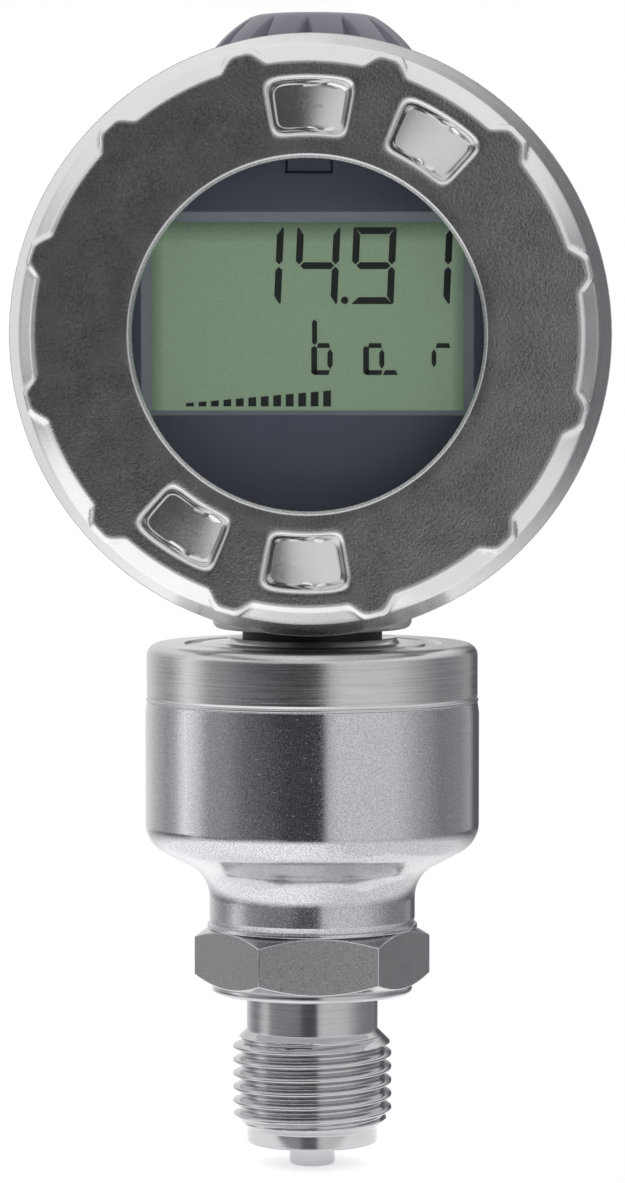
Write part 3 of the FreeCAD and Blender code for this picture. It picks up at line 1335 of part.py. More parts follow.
def switch_dome():
    """Snap dome under the spindle, which gives the push its click and returns the knob."""
    half = DOME_DIAMETER / 2
    crown = (half ** 2 + DOME_RISE ** 2) / (2 * DOME_RISE)
    centre_height = chamber_floor + DOME_RISE - crown
    inner = crown - DOME_THICKNESS
    ball = Part.makeSphere(crown, FreeCAD.Vector(0, KNOB_OFFSET, centre_height))
    hollow = Part.makeSphere(inner, FreeCAD.Vector(0, KNOB_OFFSET, centre_height))
    keep = rod(DOME_DIAMETER, chamber_floor, chamber_floor + DOME_RISE + 1, knob_line())
    return ball.cut(hollow).common(keep)


def knob_spindle():
    """Steel spindle from the knob to the encoder, with a flat at its upper end."""
    spindle = rod(SPINDLE_DIAMETER, spindle_bottom, knob_roof, knob_line())
    middle = (0, KNOB_OFFSET + SPINDLE_DIAMETER - SPINDLE_FLAT)
    flat = block(SPINDLE_DIAMETER, SPINDLE_DIAMETER, knob_roof, middle, knob_hub_bottom)
    return spindle.cut(flat)


def knob_outside():
    """Domed knob blank with a flat top."""
    base_radius = KNOB_BASE_DIAMETER / 2
    dome_centre = knob_bottom - math.sqrt(KNOB_DOME_RADIUS ** 2 - base_radius ** 2)
    top_radius = math.sqrt(KNOB_DOME_RADIUS ** 2 - (knob_top - dome_centre) ** 2)
    middle_height = (knob_top + knob_bottom) / 2
    middle_radius = math.sqrt(KNOB_DOME_RADIUS ** 2 - (middle_height - dome_centre) ** 2)
    rim = FreeCAD.Vector(base_radius, 0, knob_bottom)
    waist = FreeCAD.Vector(middle_radius, 0, middle_height)
    crown = FreeCAD.Vector(top_radius, 0, knob_top)
    low = FreeCAD.Vector(0, 0, knob_bottom)
    high = FreeCAD.Vector(0, 0, knob_top)
    wire = Part.Wire([
        Part.makeLine(low, rim),
        Part.Arc(rim, waist, crown).toShape(),
        Part.makeLine(crown, high),
        Part.makeLine(high, low),
    ])
    blank = Part.Face(wire).revolve(FreeCAD.Vector(0, 0, 0), Z_AXIS, 360)
    return placed(blank, knob_line(), Z_AXIS)


def knob_flute():
    """Wedge that cuts one grip flute: a groove whose root leans in towards the top."""
    run = KNOB_FLUTE_BASE_RADIUS - KNOB_FLUTE_TOP_RADIUS
    overshoot = 2.0
    slope = run / KNOB_HEIGHT
    out = KNOB_BASE_DIAMETER / 2
    wires = []
    for height in (knob_bottom - overshoot, knob_top + overshoot):
        root = KNOB_FLUTE_BASE_RADIUS - slope * (height - knob_bottom)
        spread = KNOB_FLUTE_HALF_WIDTH * (out - root) / (out - KNOB_FLUTE_BASE_RADIUS)
        wires.append(Part.makePolygon([
            FreeCAD.Vector(root, 0, height),
            FreeCAD.Vector(out, -spread, height),
            FreeCAD.Vector(out, spread, height),
            FreeCAD.Vector(root, 0, height),
        ]))
    return Part.makeLoft(wires, True, True)


def knob():
    """Moulded setting knob: fluted dome, hollow below, with a hub for the spindle."""
    axis = knob_line()
    flutes = around(placed(knob_flute(), axis, Z_AXIS), KNOB_FLUTE_COUNT, axis, Z_AXIS, KNOB_FLUTE_CLOCKING)
    body = knob_outside().cut(flutes)
    inner_radius = KNOB_FLUTE_BASE_RADIUS - KNOB_FLUTE_WALL
    roof_radius = KNOB_FLUTE_TOP_RADIUS - KNOB_FLUTE_WALL
    hollow = turned([
        (KNOB_HUB_DIAMETER / 2, knob_bottom - 1),
        (inner_radius, knob_bottom - 1),
        (inner_radius, knob_bottom + KNOB_SKIRT_HEIGHT),
        (roof_radius, knob_roof),
        (KNOB_HUB_DIAMETER / 2, knob_roof),
    ], axis)
    under_hub = rod(KNOB_HUB_DIAMETER + 1, knob_bottom - 1, knob_hub_bottom, axis)
    bore = rod(SPINDLE_DIAMETER + 2 * CONTACT_FIT, knob_bottom - 1, knob_roof, axis)
    grub_hole = rod(GRUB_DIAMETER + 2 * CONTACT_FIT, 0, KNOB_BASE_DIAMETER, grub_base(), Y_AXIS)
    return body.cut([hollow, under_hub, bore, grub_hole])


def grub_base():
    """Middle of the knob at the height of its grub screw."""
    return FreeCAD.Vector(0, KNOB_OFFSET, (knob_hub_bottom + knob_roof) / 2)


def knob_grub_screw():
    """Grub screw in the back of the knob, on the spindle's flat."""
    start = SPINDLE_DIAMETER / 2 - SPINDLE_FLAT
    return rod(GRUB_DIAMETER, start, start + GRUB_LENGTH, grub_base(), Y_AXIS)


def knob_seal():
    """Rubber lip ring on the knob seat, inside the knob's skirt."""
    bore = KNOB_SEAL_DIAMETER - 2 * KNOB_SEAL_WALL
    return tube(KNOB_SEAL_DIAMETER, bore, knob_seat, knob_seat + KNOB_SEAL_HEIGHT, knob_line())


PIECES = [
    process_connection, capsule_body, capsule_lid, sensor_cell, sensor_diaphragm, cell_o_ring,
    cell_clamp_ring, header_pins, board_spacer, sensor_board, sensor_chips, sensor_socket,
    neck_gasket, neck_o_ring, stop_washer, swivel_locknut, housing, stop_pin, sensor_cable, sensor_plug,
    electronics_pot, module_screws, board_standoffs, main_board, main_board_parts, supply_socket,
    display_bezel, display_latch, lcd_glass, lcd_reflector, light_guide, contact_strips,
    display_board, display_plug, connector_shell, connector_insert, connector_contacts,
    connector_gasket, connector_locknut, earth_screw, earth_clamp, vent_plug, vent_membrane,
    encoder_body, encoder_nut, encoder_rotor, switch_dome, knob_spindle, knob, knob_grub_screw,
    knob_seal, cover_ring, cover_glass, glass_gasket, glass_retaining_ring, cover_o_ring,
]

os.makedirs("parts", exist_ok=True)
for piece in PIECES:
    shape = piece()
    shape.exportStep("parts/" + piece.__name__ + ".step")
    print(piece.__name__, len(shape.Solids), shape.isValid(), round(shape.Volume, 1))
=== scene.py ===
import math

import bpy
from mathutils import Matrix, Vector


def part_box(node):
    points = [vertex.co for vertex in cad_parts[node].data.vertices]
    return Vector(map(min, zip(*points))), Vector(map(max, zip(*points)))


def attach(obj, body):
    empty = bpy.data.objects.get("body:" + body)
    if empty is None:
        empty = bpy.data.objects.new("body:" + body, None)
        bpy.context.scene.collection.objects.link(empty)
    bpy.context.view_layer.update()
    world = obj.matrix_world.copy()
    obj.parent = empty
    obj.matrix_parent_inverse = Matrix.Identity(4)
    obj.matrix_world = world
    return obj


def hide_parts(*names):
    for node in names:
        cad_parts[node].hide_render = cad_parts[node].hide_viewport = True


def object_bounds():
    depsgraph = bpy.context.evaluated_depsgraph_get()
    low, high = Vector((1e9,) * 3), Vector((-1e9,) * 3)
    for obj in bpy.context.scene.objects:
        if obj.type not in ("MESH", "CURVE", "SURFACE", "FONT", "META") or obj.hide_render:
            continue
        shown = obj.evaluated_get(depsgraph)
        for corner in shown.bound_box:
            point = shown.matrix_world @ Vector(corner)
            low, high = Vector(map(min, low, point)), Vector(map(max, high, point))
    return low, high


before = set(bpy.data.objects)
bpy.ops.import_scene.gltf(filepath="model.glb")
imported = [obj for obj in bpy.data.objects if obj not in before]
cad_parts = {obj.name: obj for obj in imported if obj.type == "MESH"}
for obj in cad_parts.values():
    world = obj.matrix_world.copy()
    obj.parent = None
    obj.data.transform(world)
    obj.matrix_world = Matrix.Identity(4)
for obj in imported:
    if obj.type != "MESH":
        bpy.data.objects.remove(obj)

cad_low, cad_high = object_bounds()

# The studio: a white sheet under the part, soft light all round it and a long lens level with the
# upper part of the head. The room is darker in front, where the camera stands, and on the right.


class Signal:
    """A value that varies over a surface. Arithmetic on it adds the Math nodes that work it out."""

    def __init__(self, nodes, socket):
        self.nodes = nodes
        self.socket = socket

    def worked(self, operation, *values, clamp=False):
        """The result of a Math node on these values."""
        return self.nodes.add("Math", {"operation": operation, "use_clamp": clamp}, values)

    def __add__(self, other):
        return self.worked("ADD", self, other)

    def __sub__(self, other):
        return self.worked("SUBTRACT", self, other)

    def __rsub__(self, other):
        return self.worked("SUBTRACT", other, self)

    def __mul__(self, other):
        return self.worked("MULTIPLY", self, other)

    def __truediv__(self, other):
        return self.worked("DIVIDE", self, other)

    def __pow__(self, other):
        return self.worked("POWER", self, other)

    __radd__ = __add__
    __rmul__ = __mul__

    def ramped(self, low, high):
        """0 below low, 1 above high, and an even rise between."""
        return self.worked("MULTIPLY_ADD", self, 1 / (high - low), -low / (high - low), clamp=True)


class Nodes:
    """The node tree of a finish or of the studio's light."""

    def __init__(self, owner):
        owner.use_nodes = True
        self.tree = owner.node_tree

    def add(self, kind, settings=None, values=(), output=0):
        """Adds a node: its settings first, then the values or links of its sockets."""
        node = self.tree.nodes.new("ShaderNode" + kind)
        for name, setting in (settings or {}).items():
            if name == "stops":
                self.set_stops(node.color_ramp, setting)
            else:
                setattr(node, name, setting)
        sockets = values.items() if isinstance(values, dict) else enumerate(values)
        for key, value in sockets:
            self.feed(node.inputs[key], value)
        return Signal(self, node.outputs[output])

    def set_stops(self, ramp, stops):
        """Fills a colour ramp with (place, grey) stops."""
        while len(ramp.elements) < len(stops):
            ramp.elements.new(0.5)
        for element, (place, grey) in zip(ramp.elements, stops):
            element.position = place
            element.color = (grey, grey, grey, 1)

    def feed(self, socket, value):
        """Links a signal to a socket, or sets a plain value on it."""
        if isinstance(value, Signal):
            self.tree.links.new(value.socket, socket)
        else:
            socket.default_value = value

    def mixed(self, factor, first, second):
        """One colour over another."""
        return self.add("Mix", {"data_type": "RGBA"}, {0: factor, 6: first, 7: second}, output=2)

    def parts_of(self, vector):
        """The X, Y and Z of a vector, as three signals."""
        split = self.add("SeparateXYZ", values=[vector])
        return [Signal(self, socket) for socket in split.socket.node.outputs]


# brightness round the part by the compass angle in degrees: 0 is towards the camera, +90 its right
room_light = [
    (-180, 0.9), (-150, 0.85), (-132, 0.6), (-118, 0.45), (-108, 0.6), (-97, 1.25), (-84, 0.85),
    (-76, 0.45), (-60, 0.38), (-45, 0.2), (-20, 0.08), (-2, 0.075), (8, 0.075), (12, 0.7), (20, 0.85),
    (60, 0.8), (80, 0.5), (100, 0.3), (125, 0.36), (140, 0.5), (150, 0.14), (168, 0.12), (178, 0.6),
]
# the same for what the lowest steel mirrors, more than 8 degrees below the horizon
low_light = [
    (-180, 0.95), (-155, 0.7), (-140, 0.45), (-118, 0.2), (-98, 0.22), (-88, 0.65), (-78, 0.3), (-60, 0.25),
    (-42, 0.38), (-22, 0.36), (-14, 0.1), (8, 0.08), (13, 0.65), (24, 0.75), (60, 0.7), (90, 0.4), (115, 0.3),
    (140, 0.15), (165, 0.3), (178, 0.9),
]

studio = bpy.data.worlds.new("studio")
bpy.context.scene.world = studio
light = Nodes(studio)
across, along, up = light.parts_of(light.add("TexCoord", output="Generated"))
compass = across.worked("ARCTAN2", across, along * -1)
rooms = []
for levels in (room_light, low_light):
    stops = [(angle / 360 + 0.5, level / 2) for angle, level in levels]
    rooms.append(light.add("ValToRGB", {"stops": stops}, [compass / math.tau + 0.5]) * 2)
low_share = (up * -1).ramped(0.140, 0.150)
round_room = rooms[0] * (1 - low_share) + rooms[1] * low_share
overhead = up.ramped(0.25, 0.55)
underneath = (up * -1).ramped(0.2, 0.42)
ambient = round_room * (1 - overhead) + overhead * 1.0
ambient = ambient * (1 - underneath) + underneath * (1.3 - across.ramped(-0.1, 0.4) * 0.35)
seen_directly = light.add("LightPath", output="Is Camera Ray")
ambient = ambient * (1 - seen_directly) + seen_directly
backdrop = light.tree.nodes["Background"]
dim_colour = (0.9, 0.89, 1.0, 1)
light.feed(backdrop.inputs["Color"], light.mixed(ambient.ramped(0.05, 0.6), dim_colour, (1, 1, 1, 1)))
light.feed(backdrop.inputs["Strength"], ambient)
bpy.context.scene.view_settings.view_transform = "Standard"

camera_place = (0.01192, -0.6024, 0.105)
camera_turn = (math.pi / 2 - 0.0533, 0, 0.01973)
camera_lens = bpy.data.cameras.new("camera")
camera_lens.sensor_fit = "VERTICAL"
camera_lens.sensor_height = 24
camera_lens.lens = 92.96
camera = bpy.data.objects.new("camera", camera_lens)
camera.location = camera_place
camera.rotation_euler = camera_turn
bpy.context.scene.collection.objects.link(camera)
bpy.context.scene.camera = camera


class Finish(Nodes):
    """One surface finish on the Principled shader. Constants are set on its sockets by name."""

    def __init__(self, name, **constants):
        self.material = bpy.data.materials.new(name)
        super().__init__(self.material)
        self.shader = self.tree.nodes["Principled BSDF"]
        for socket, value in constants.items():
            self.set(socket.replace("_", " "), value)

    def set(self, socket, value):
        """Sets or feeds one of the shader's sockets."""
        self.feed(self.shader.inputs[socket], value)

    def place(self):
        """Where a point is on the part, in millimetres."""
        metres = self.add("TexCoord", output="Object")
        return self.add("VectorMath", {"operation": "SCALE"}, {0: metres, 3: 1000})

    def speckle(self, size, stretch=(1, 1, 1), detail=2.0):
        """Cloudy noise with features of that size in millimetres, drawn out along an axis by stretch."""
        scale = [1 / (size * factor) for factor in stretch]
        place = self.add("VectorMath", {"operation": "MULTIPLY"}, [self.place(), scale])
        return self.add("TexNoise", {}, {"Vector": place, "Scale": 1.0, "Detail": detail})

    def relief(self, height, depth):
        """Bump of that depth in millimetres from a height between 0 and 1."""
        raised = self.add("Bump", {}, {"Strength": 1.0, "Distance": depth / 1000, "Height": height})
        self.set("Normal", raised)


floor_level = cad_low.z
sheet_width = 0.08
sheet_front = -0.02
sheet_back = 0.04
bpy.ops.mesh.primitive_grid_add(x_subdivisions=8, y_subdivisions=8, size=1)
sheet = bpy.context.object
sheet.name = "floor_sheet"
sheet.scale = (sheet_width, sheet_back - sheet_front, 1)
sheet.location = (0, (sheet_back + sheet_front) / 2, floor_level)
bpy.ops.object.transform_apply(location=True, rotation=True, scale=True)
paper = Finish("floor_paper", Roughness=0.9, Emission_Color=(1, 1, 1, 1), Emission_Strength=0.5)
fibre = paper.speckle(2.0)
paper.set("Base Color", paper.mixed(fibre, (0.82, 0.82, 0.82, 1), (0.88, 0.88, 0.88, 1)))
paper.set("Roughness", fibre * 0.1 + 0.85)
sheet.data.materials.append(paper.material)


# Process connection: hexagon, collar, G 1/2 B thread and centring tip, turned from one bar of
# stainless steel. The thread is cut with a rounded tool, so its crests and roots are round.

MM = 0.001


def wrapped(name, rows, columns, point_at):
    """A grid wrapped round into rings: point_at(row, column) gives each point in millimetres."""
    bpy.ops.object.select_all(action="DESELECT")
    bpy.ops.mesh.primitive_grid_add(x_subdivisions=columns, y_subdivisions=rows, size=1)
    piece = bpy.context.object
    piece.name = name
    for vertex in piece.data.vertices:
        column = round((vertex.co.x + 0.5) * columns)
        row = round((vertex.co.y + 0.5) * rows)
        vertex.co = Vector(point_at(row, column)) * MM
    close_up(piece)
    return piece


def close_up(piece):
    """Merges what meets and turns every face outwards."""
    bpy.ops.object.mode_set(mode="EDIT")
    bpy.ops.mesh.select_all(action="SELECT")
    bpy.ops.mesh.remove_doubles(threshold=2e-7)
    bpy.ops.mesh.normals_make_consistent(inside=False)
    bpy.ops.object.mode_set(mode="OBJECT")


def turned(name, outline, steps=144, middle=(0, 0, 0), axis=(0, 0, 1)):
    """A turned piece: its outline of (radius, height) points is drawn edge by edge and spun."""
    middle = Vector(middle) * MM
    axis = Vector(axis)
    points = [middle + Vector((radius, 0, 0)) * MM + axis * height * MM for radius, height in outline]
    bpy.ops.object.select_all(action="DESELECT")
    bpy.ops.mesh.primitive_plane_add(size=MM, location=points[0])
    piece = bpy.context.object
    piece.name = name
    bpy.ops.object.mode_set(mode="EDIT")
    bpy.ops.mesh.merge(type="CENTER")
    for here, there in zip(points, points[1:]):
        bpy.ops.mesh.extrude_region_move(TRANSFORM_OT_translate={"value": there - here})
    bpy.ops.mesh.select_all(action="SELECT")
    bpy.ops.mesh.spin(steps=steps, angle=math.tau, center=middle, axis=axis)
    bpy.ops.object.mode_set(mode="OBJECT")
    bpy.ops.object.transform_apply(location=True, rotation=True, scale=True)
    close_up(piece)
    return piece


def rounded(corners, arc_steps=6):
    """The outline through these corners: a third number is the radius that rounds the corner."""
    outline = []
    for k, corner in enumerate(corners):
        here = Vector(corner[:2])
        if len(corner) == 2:
            outline.append(here)
            continue
        before = (Vector(corners[k - 1][:2]) - here).normalized()
        after = (Vector(corners[(k + 1) % len(corners)][:2]) - here).normalized()
        half = before.angle(after) / 2
        reach = corner[2] / math.tan(half)
        centre = here + (before + after).normalized() * corner[2] / math.sin(half)
        first = (here + before * reach - centre).normalized()
        last = (here + after * reach - centre).normalized()
        for step in range(arc_steps + 1):
            outline.append(centre + first.slerp(last, step / arc_steps) * corner[2])
    return outline


def cut(piece, tool, operation="DIFFERENCE"):
    """Cuts a piece with another, or joins them or keeps what they share. The tool is used up."""
    bpy.ops.object.select_all(action="DESELECT")
    bpy.context.view_layer.objects.active = piece
    piece.select_set(True)
    bpy.ops.object.modifier_add(type="BOOLEAN")
    modifier = piece.modifiers[-1]
    modifier.operation = operation
    modifier.solver = "EXACT"
    modifier.material_mode = "TRANSFER"
    modifier.object = tool
    bpy.ops.object.modifier_apply(modifier=modifier.name)
    bpy.data.objects.remove(tool)


def broken_edges(piece, width):
    """Rounds a piece's sharp edges by that width in millimetres."""
    bpy.ops.object.select_all(action="DESELECT")
    bpy.context.view_layer.objects.active = piece
    piece.select_set(True)
    bpy.ops.object.modifier_add(type="BEVEL")
    modifier = piece.modifiers[-1]
    modifier.width = width * MM
    modifier.segments = 2
    modifier.limit_method = "ANGLE"
    modifier.angle_limit = math.radians(30)
    bpy.ops.object.modifier_apply(modifier=modifier.name)


def dress(piece, finish, body, slot, *nodes, smooth=35):
    """Shades a new piece, gives it its finish, hangs it on its body and hides the nodes it stands for."""
    if not any(piece.data.materials):
        piece.data.materials.clear()
        piece.data.materials.append(finish.material)
        for face in piece.data.polygons:
            face.material_index = 0
    bpy.ops.object.select_all(action="DESELECT")
    bpy.context.view_layer.objects.active = piece
    piece.select_set(True)
    bpy.ops.object.shade_smooth_by_angle(angle=math.radians(smooth))
    bpy.ops.object.modifier_add(type="WEIGHTED_NORMAL")
    modifier = piece.modifiers[-1]
    modifier.keep_sharp = True
    bpy.ops.object.modifier_apply(modifier=modifier.name)
    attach(piece, body)
    if nodes:
        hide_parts(*nodes)


def hexagon(name, across_flats, start, end, clocking=0.0, middle=(0, 0, 0), axis=(0, 0, 1)):
    """A hexagon with its corners taken off at both ends by a 30 degree cone."""
    slope = math.tan(math.radians(30))
    lengthwise = Vector(axis)
    place = (Vector(middle) + lengthwise * (start + end) / 2) * MM
    bpy.ops.object.select_all(action="DESELECT")
    bpy.ops.mesh.primitive_cylinder_add(
        vertices=6,
        radius=across_flats / math.sqrt(3) * MM,
        depth=(end - start) * MM,
        location=place,
        rotation=(0 if lengthwise.z else math.pi / 2, math.radians(clocking) if lengthwise.y else 0,
                  math.radians(30 + clocking) if lengthwise.z else 0),
    )
    piece = bpy.context.object
    piece.name = name
    bpy.ops.object.transform_apply(location=True, rotation=True, scale=True)
    reach = across_flats
    drop = (reach - across_flats / 2) * slope
    end_rim = across_flats / 2 - 0.2
    if start + drop < end - drop:
        sides = [(reach, start + drop), (reach, end - drop)]
    else:
        halfway = (start + end) / 2
        sides = [(end_rim + (halfway - start) / slope, halfway)]
    cone = turned(name + "_cone", [(0, start), (end_rim, start), *sides, (end_rim, end), (0, end)],
                  middle=middle, axis=axis)
    cut(piece, cone, "INTERSECT")
    return piece


connection_low, connection_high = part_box("process_connection")
tip_end = connection_low.z / MM
stub_end = connection_high.z / MM
thread_radius = 20.955 / 2
thread_root = 18.631 / 2
undercut_radius = 17.3 / 2
thread_pitch = 1.814
thread_start = 2.0
thread_end = 15.0
collar_start = 20.0
collar_radius = 13.2
collar_end = 21.0
hex_end = 28.6
hex_across_flats = 27.0
hex_clocking = 4.7
stub_radius = 9.0
stub_groove_inner = 6.575
stub_groove_outer = 8.025
stub_groove_depth = 1.15
port_radius = 1.75
tip_radius = 3.0
thread_flat = 0.12
thread_roundness = 0.8
rows_per_turn = 26
thread_rows = int((thread_end - thread_start) / thread_pitch * rows_per_turn)
first_row = thread_start + 0.3
thread_length = thread_end - thread_start - 0.6


def thread_radius_at(height, angle, pitch, crest, root):
    """The radius of a right-hand thread with round crests and roots."""
    turn = (height / pitch - angle / math.tau) % 1
    rise = min(max((1 - abs(2 * turn - 1) - thread_flat) / (1 - 2 * thread_flat), 0), 1)
    smooth = rise * rise * (3 - 2 * rise)
    return root + (crest - root) * (smooth * thread_roundness + rise * (1 - thread_roundness))


def relief_cone(height, start, end, base):
    """How far out the 45 degree cones at a thread's two ends let it reach."""
    return base + min(height - start, end - height)


tip_outline = rounded([
    (port_radius, tip_end + 0.4),
    (port_radius + 0.4, tip_end),
    (tip_radius, tip_end, 0.4),
    (tip_radius, -0.25, 0.25),
    (tip_radius + 0.8, 0.0),
    (undercut_radius, 0.0, 0.3),
    (undercut_radius, thread_start, 0.25),
    (undercut_radius + 0.6, thread_start + 0.6),
], 4)[:-1]
collar_outline = rounded([
    (undercut_radius + 0.6, thread_end - 0.6),
    (undercut_radius, thread_end, 0.3),
    (undercut_radius, collar_start, 0.5),
    (collar_radius, collar_start, 0.45),
    (collar_radius, collar_end, 0.15),
    (collar_radius - 2.5, collar_end),
    (stub_radius, collar_end),
    (stub_radius, stub_end, 0.3),
    (stub_groove_outer, stub_end),
    (stub_groove_outer, stub_end - stub_groove_depth),
    (stub_groove_inner, stub_end - stub_groove_depth),
    (stub_groove_inner, stub_end),
    (port_radius, stub_end),
    (port_radius, tip_end + 0.4),
], 4)[1:]
thread_heights = [first_row + thread_length * k / thread_rows for k in range(thread_rows + 1)]
connection_rows = (
    [(radius, height, False) for radius, height in tip_outline]
    + [(0, height, True) for height in thread_heights]
    + [(radius, height, False) for radius, height in collar_outline]
)
connection_columns = 160


def connection_point(row, column):
    """A point on the threaded connection."""
    radius, height, threaded = connection_rows[row]
    angle = math.tau * column / connection_columns
    if threaded:
        cone = relief_cone(height, thread_start, thread_end, undercut_radius)
        radius = min(thread_radius_at(height, angle, thread_pitch, thread_radius, thread_root), cone)
    return radius * math.cos(angle), radius * math.sin(angle), height


connection = wrapped("threaded_connection", len(connection_rows) - 1, connection_columns, connection_point)
flats = hexagon("connection_hexagon", hex_across_flats, collar_end, hex_end, hex_clocking)
broken_edges(flats, 0.12)


def steel(name, colour, roughness, grain=0.0, grain_size=0.2, lines=0.0, line_size=0.25, spin_axis="Z",
          scratches=0.0, brushed=0.0, depth=0.02):
    """Bare stainless steel: its grain, turning lines and short scratches, each as deep as given."""
    finish = Finish(name, Metallic=1.0, Anisotropic=brushed)
    fine = finish.speckle(grain_size, detail=3.0)
    stretch = (60, 60, 1) if spin_axis == "Z" else (60, 1, 60)
    streaks = finish.speckle(line_size, stretch, detail=3.0)
    broad = finish.speckle(9.0, detail=1.0)
    shade = (fine - 0.5) * (grain * 2.2) + (streaks - 0.5) * (lines * 1.2) + (broad - 0.5) * 0.12
    dark = [channel * 0.72 for channel in colour] + [1]
    bright = [min(channel * 1.22, 1) for channel in colour] + [1]
    finish.set("Base Color", finish.mixed(shade.ramped(-0.5, 0.5), dark, bright))
    wear = roughness + (fine - 0.5) * (0.25 * grain) + (streaks - 0.5) * (0.3 * lines) + (broad - 0.5) * 0.06
    height = fine * grain + streaks * lines
    if scratches:
        nick = finish.speckle(0.16, (1, 1, 7), detail=0.0).ramped(0.83, 0.88)
        other = finish.speckle(0.16, (5, 5, 1), detail=0.0).ramped(0.83, 0.88)
        height = height + (nick + other) * scratches
        wear = wear - (nick + other) * 0.08
    finish.set("Roughness", wear)
    finish.relief(height, depth)
    return finish


turned_steel = steel("turned_steel", (0.58, 0.58, 0.60), 0.15, grain=0.2, lines=0.35, depth=0.006)
bar_steel = steel("bar_steel", (0.385, 0.385, 0.40), 0.36, grain=1.7, grain_size=0.12, depth=0.005)
flats.data.materials.append(bar_steel.material)
connection.data.materials.append(turned_steel.material)
cut(connection, flats, "UNION")
inside_flats = hex_across_flats / 2 - 0.05
for face in connection.data.polygons:
    on_hexagon = collar_end * MM < face.center.z < hex_end * MM and face.center.xy.length > inside_flats * MM
    facing = math.degrees(math.atan2(face.normal.y, face.normal.x)) + 90 - hex_clocking
    off_flat = abs((facing + 30) % 60 - 30) + abs(face.normal.z) * 90
    face.material_index = 1 if on_hexagon and off_flat < 5 else 0
dress(connection, turned_steel, "process_unit", "turned_steel", "process_connection")


# Pressure capsule: a deep cup turned from stainless bar and ground, pressed over the connection's
# stub and welded to it, with a small bevel at its open end for the lid's weld.

cup_low, cup_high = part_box("capsule_body")
cup_radius = cup_high.x / MM
cup_bottom = cup_low.z / MM
cup_top = cup_high.z / MM
neck_radius = 13.55
neck_height = 6.9
shoulder_rise = (cup_radius - neck_radius) * math.tan(math.radians(27.8))
weld_bevel = 0.2
weld_bevel_height = 1.6
stub_hole = stub_radius + 0.05
weld_bead = neck_radius + 0.28
cup_bore = cup_radius - 3.2
cell_bore = 15.0
cell_floor = cup_bottom + 15.4
cell_mouth = cup_bottom + 22.0
cup = turned("capsule_cup", rounded([
    (stub_hole, cup_bottom),
    (weld_bead + 0.07, cup_bottom, 0.12),
    (weld_bead, cup_bottom + 0.45, 0.12),
    (neck_radius - 0.12, cup_bottom + 0.55, 0.1),
    (neck_radius, cup_bottom + 1.3, 0.5),
    (neck_radius, cup_bottom + neck_height, 5.0),
    (cup_radius, cup_bottom + neck_height + shoulder_rise, 4.0),
    (cup_radius, cup_top - weld_bevel_height, 0.5),
    (cup_radius - weld_bevel, cup_top, 0.15),
    (cup_bore, cup_top),
    (cup_bore, cell_mouth),
    (cell_bore, cell_mouth),
    (cell_bore, cell_floor),
    (stub_hole, cell_floor),
    (stub_hole, cup_bottom),
], 8))
ground_steel = steel("ground_steel", (0.585, 0.585, 0.615), 0.12, grain=1.7, grain_size=0.15, scratches=2.4,
                     depth=0.0018)
fillet_top = cup_bottom + neck_height + 6.0
cup_z = ground_steel.parts_of(ground_steel.place())[2]
neck_share = (fillet_top - cup_z).ramped(0.0, 2.5)
even_wear = Signal(ground_steel, ground_steel.shader.inputs["Roughness"].links[0].from_socket)
ground_steel.set("Roughness", even_wear + neck_share * 0.06)
dress(cup, ground_steel, "process_unit", "capsule_steel", "capsule_body")


# Capsule lid: turned and laser-welded on the cup, with a raised land for the gasket and the hollow
# turret that the head turns on. Its side keeps the turning lines, which follow round it.

lid_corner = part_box("capsule_lid")[1]
turret_end = lid_corner.z / MM
lid_radius = lid_corner.x / MM
lid_top = 66.1
land_top = 66.9
land_radius = 11.0
lid_floor = lid_top - 3.0
lid_spigot = cup_bore - 0.4
groove_inner = 14.7
groove_outer = 16.9
turret_radius = 7.4
turret_bore = 4.5
seal_groove = 5.98
seal_groove_start = 72.58
seal_groove_end = 74.18
lid = turned("capsule_lid_turned", rounded([
    (turret_bore, lid_floor),
    (lid_spigot, lid_floor),
    (lid_spigot, cup_top),
    (lid_radius + 0.1, cup_top, 0.12),
    (lid_radius + 0.1, cup_top + 0.35, 0.15),
    (lid_radius - 0.1, cup_top + 0.45, 0.1),
    (lid_radius, cup_top + 0.8, 0.3),
    (lid_radius, lid_top, 1.6),
    (groove_outer, lid_top, 0.3),
    (groove_outer - 0.3, lid_top - 0.3, 0.2),
    (groove_inner + 0.3, lid_top - 0.3, 0.2),
    (groove_inner, lid_top, 0.3),
    (land_radius + 0.5, lid_top, 0.3),
    (land_radius, land_top, 0.25),
    (turret_radius, land_top, 0.2),
    (turret_radius, seal_groove_start),
    (seal_groove, seal_groove_start),
    (seal_groove, seal_groove_end),
    (turret_radius, seal_groove_end),
    (turret_radius, turret_end, 0.3),
    (turret_bore, turret_end, 0.3),
    (turret_bore, lid_floor),
], 8))
lathe_steel = steel("lathe_steel", (0.60, 0.60, 0.61), 0.19, grain=0.35, grain_size=0.18, lines=0.8,
                    line_size=0.22, brushed=0.45)
dress(lid, lathe_steel, "process_unit", "capsule_steel", "capsule_lid")


# Measuring cell inside the cup, with its diaphragm, clamp ring and spacer: turned from stainless
# bar. Its header pins are gold-plated and stand in glass.


def coat(finish, *nodes):
    """Gives CAD nodes their finish."""
    for node in nodes:
        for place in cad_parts[node].material_slots:
            place.material = finish.material


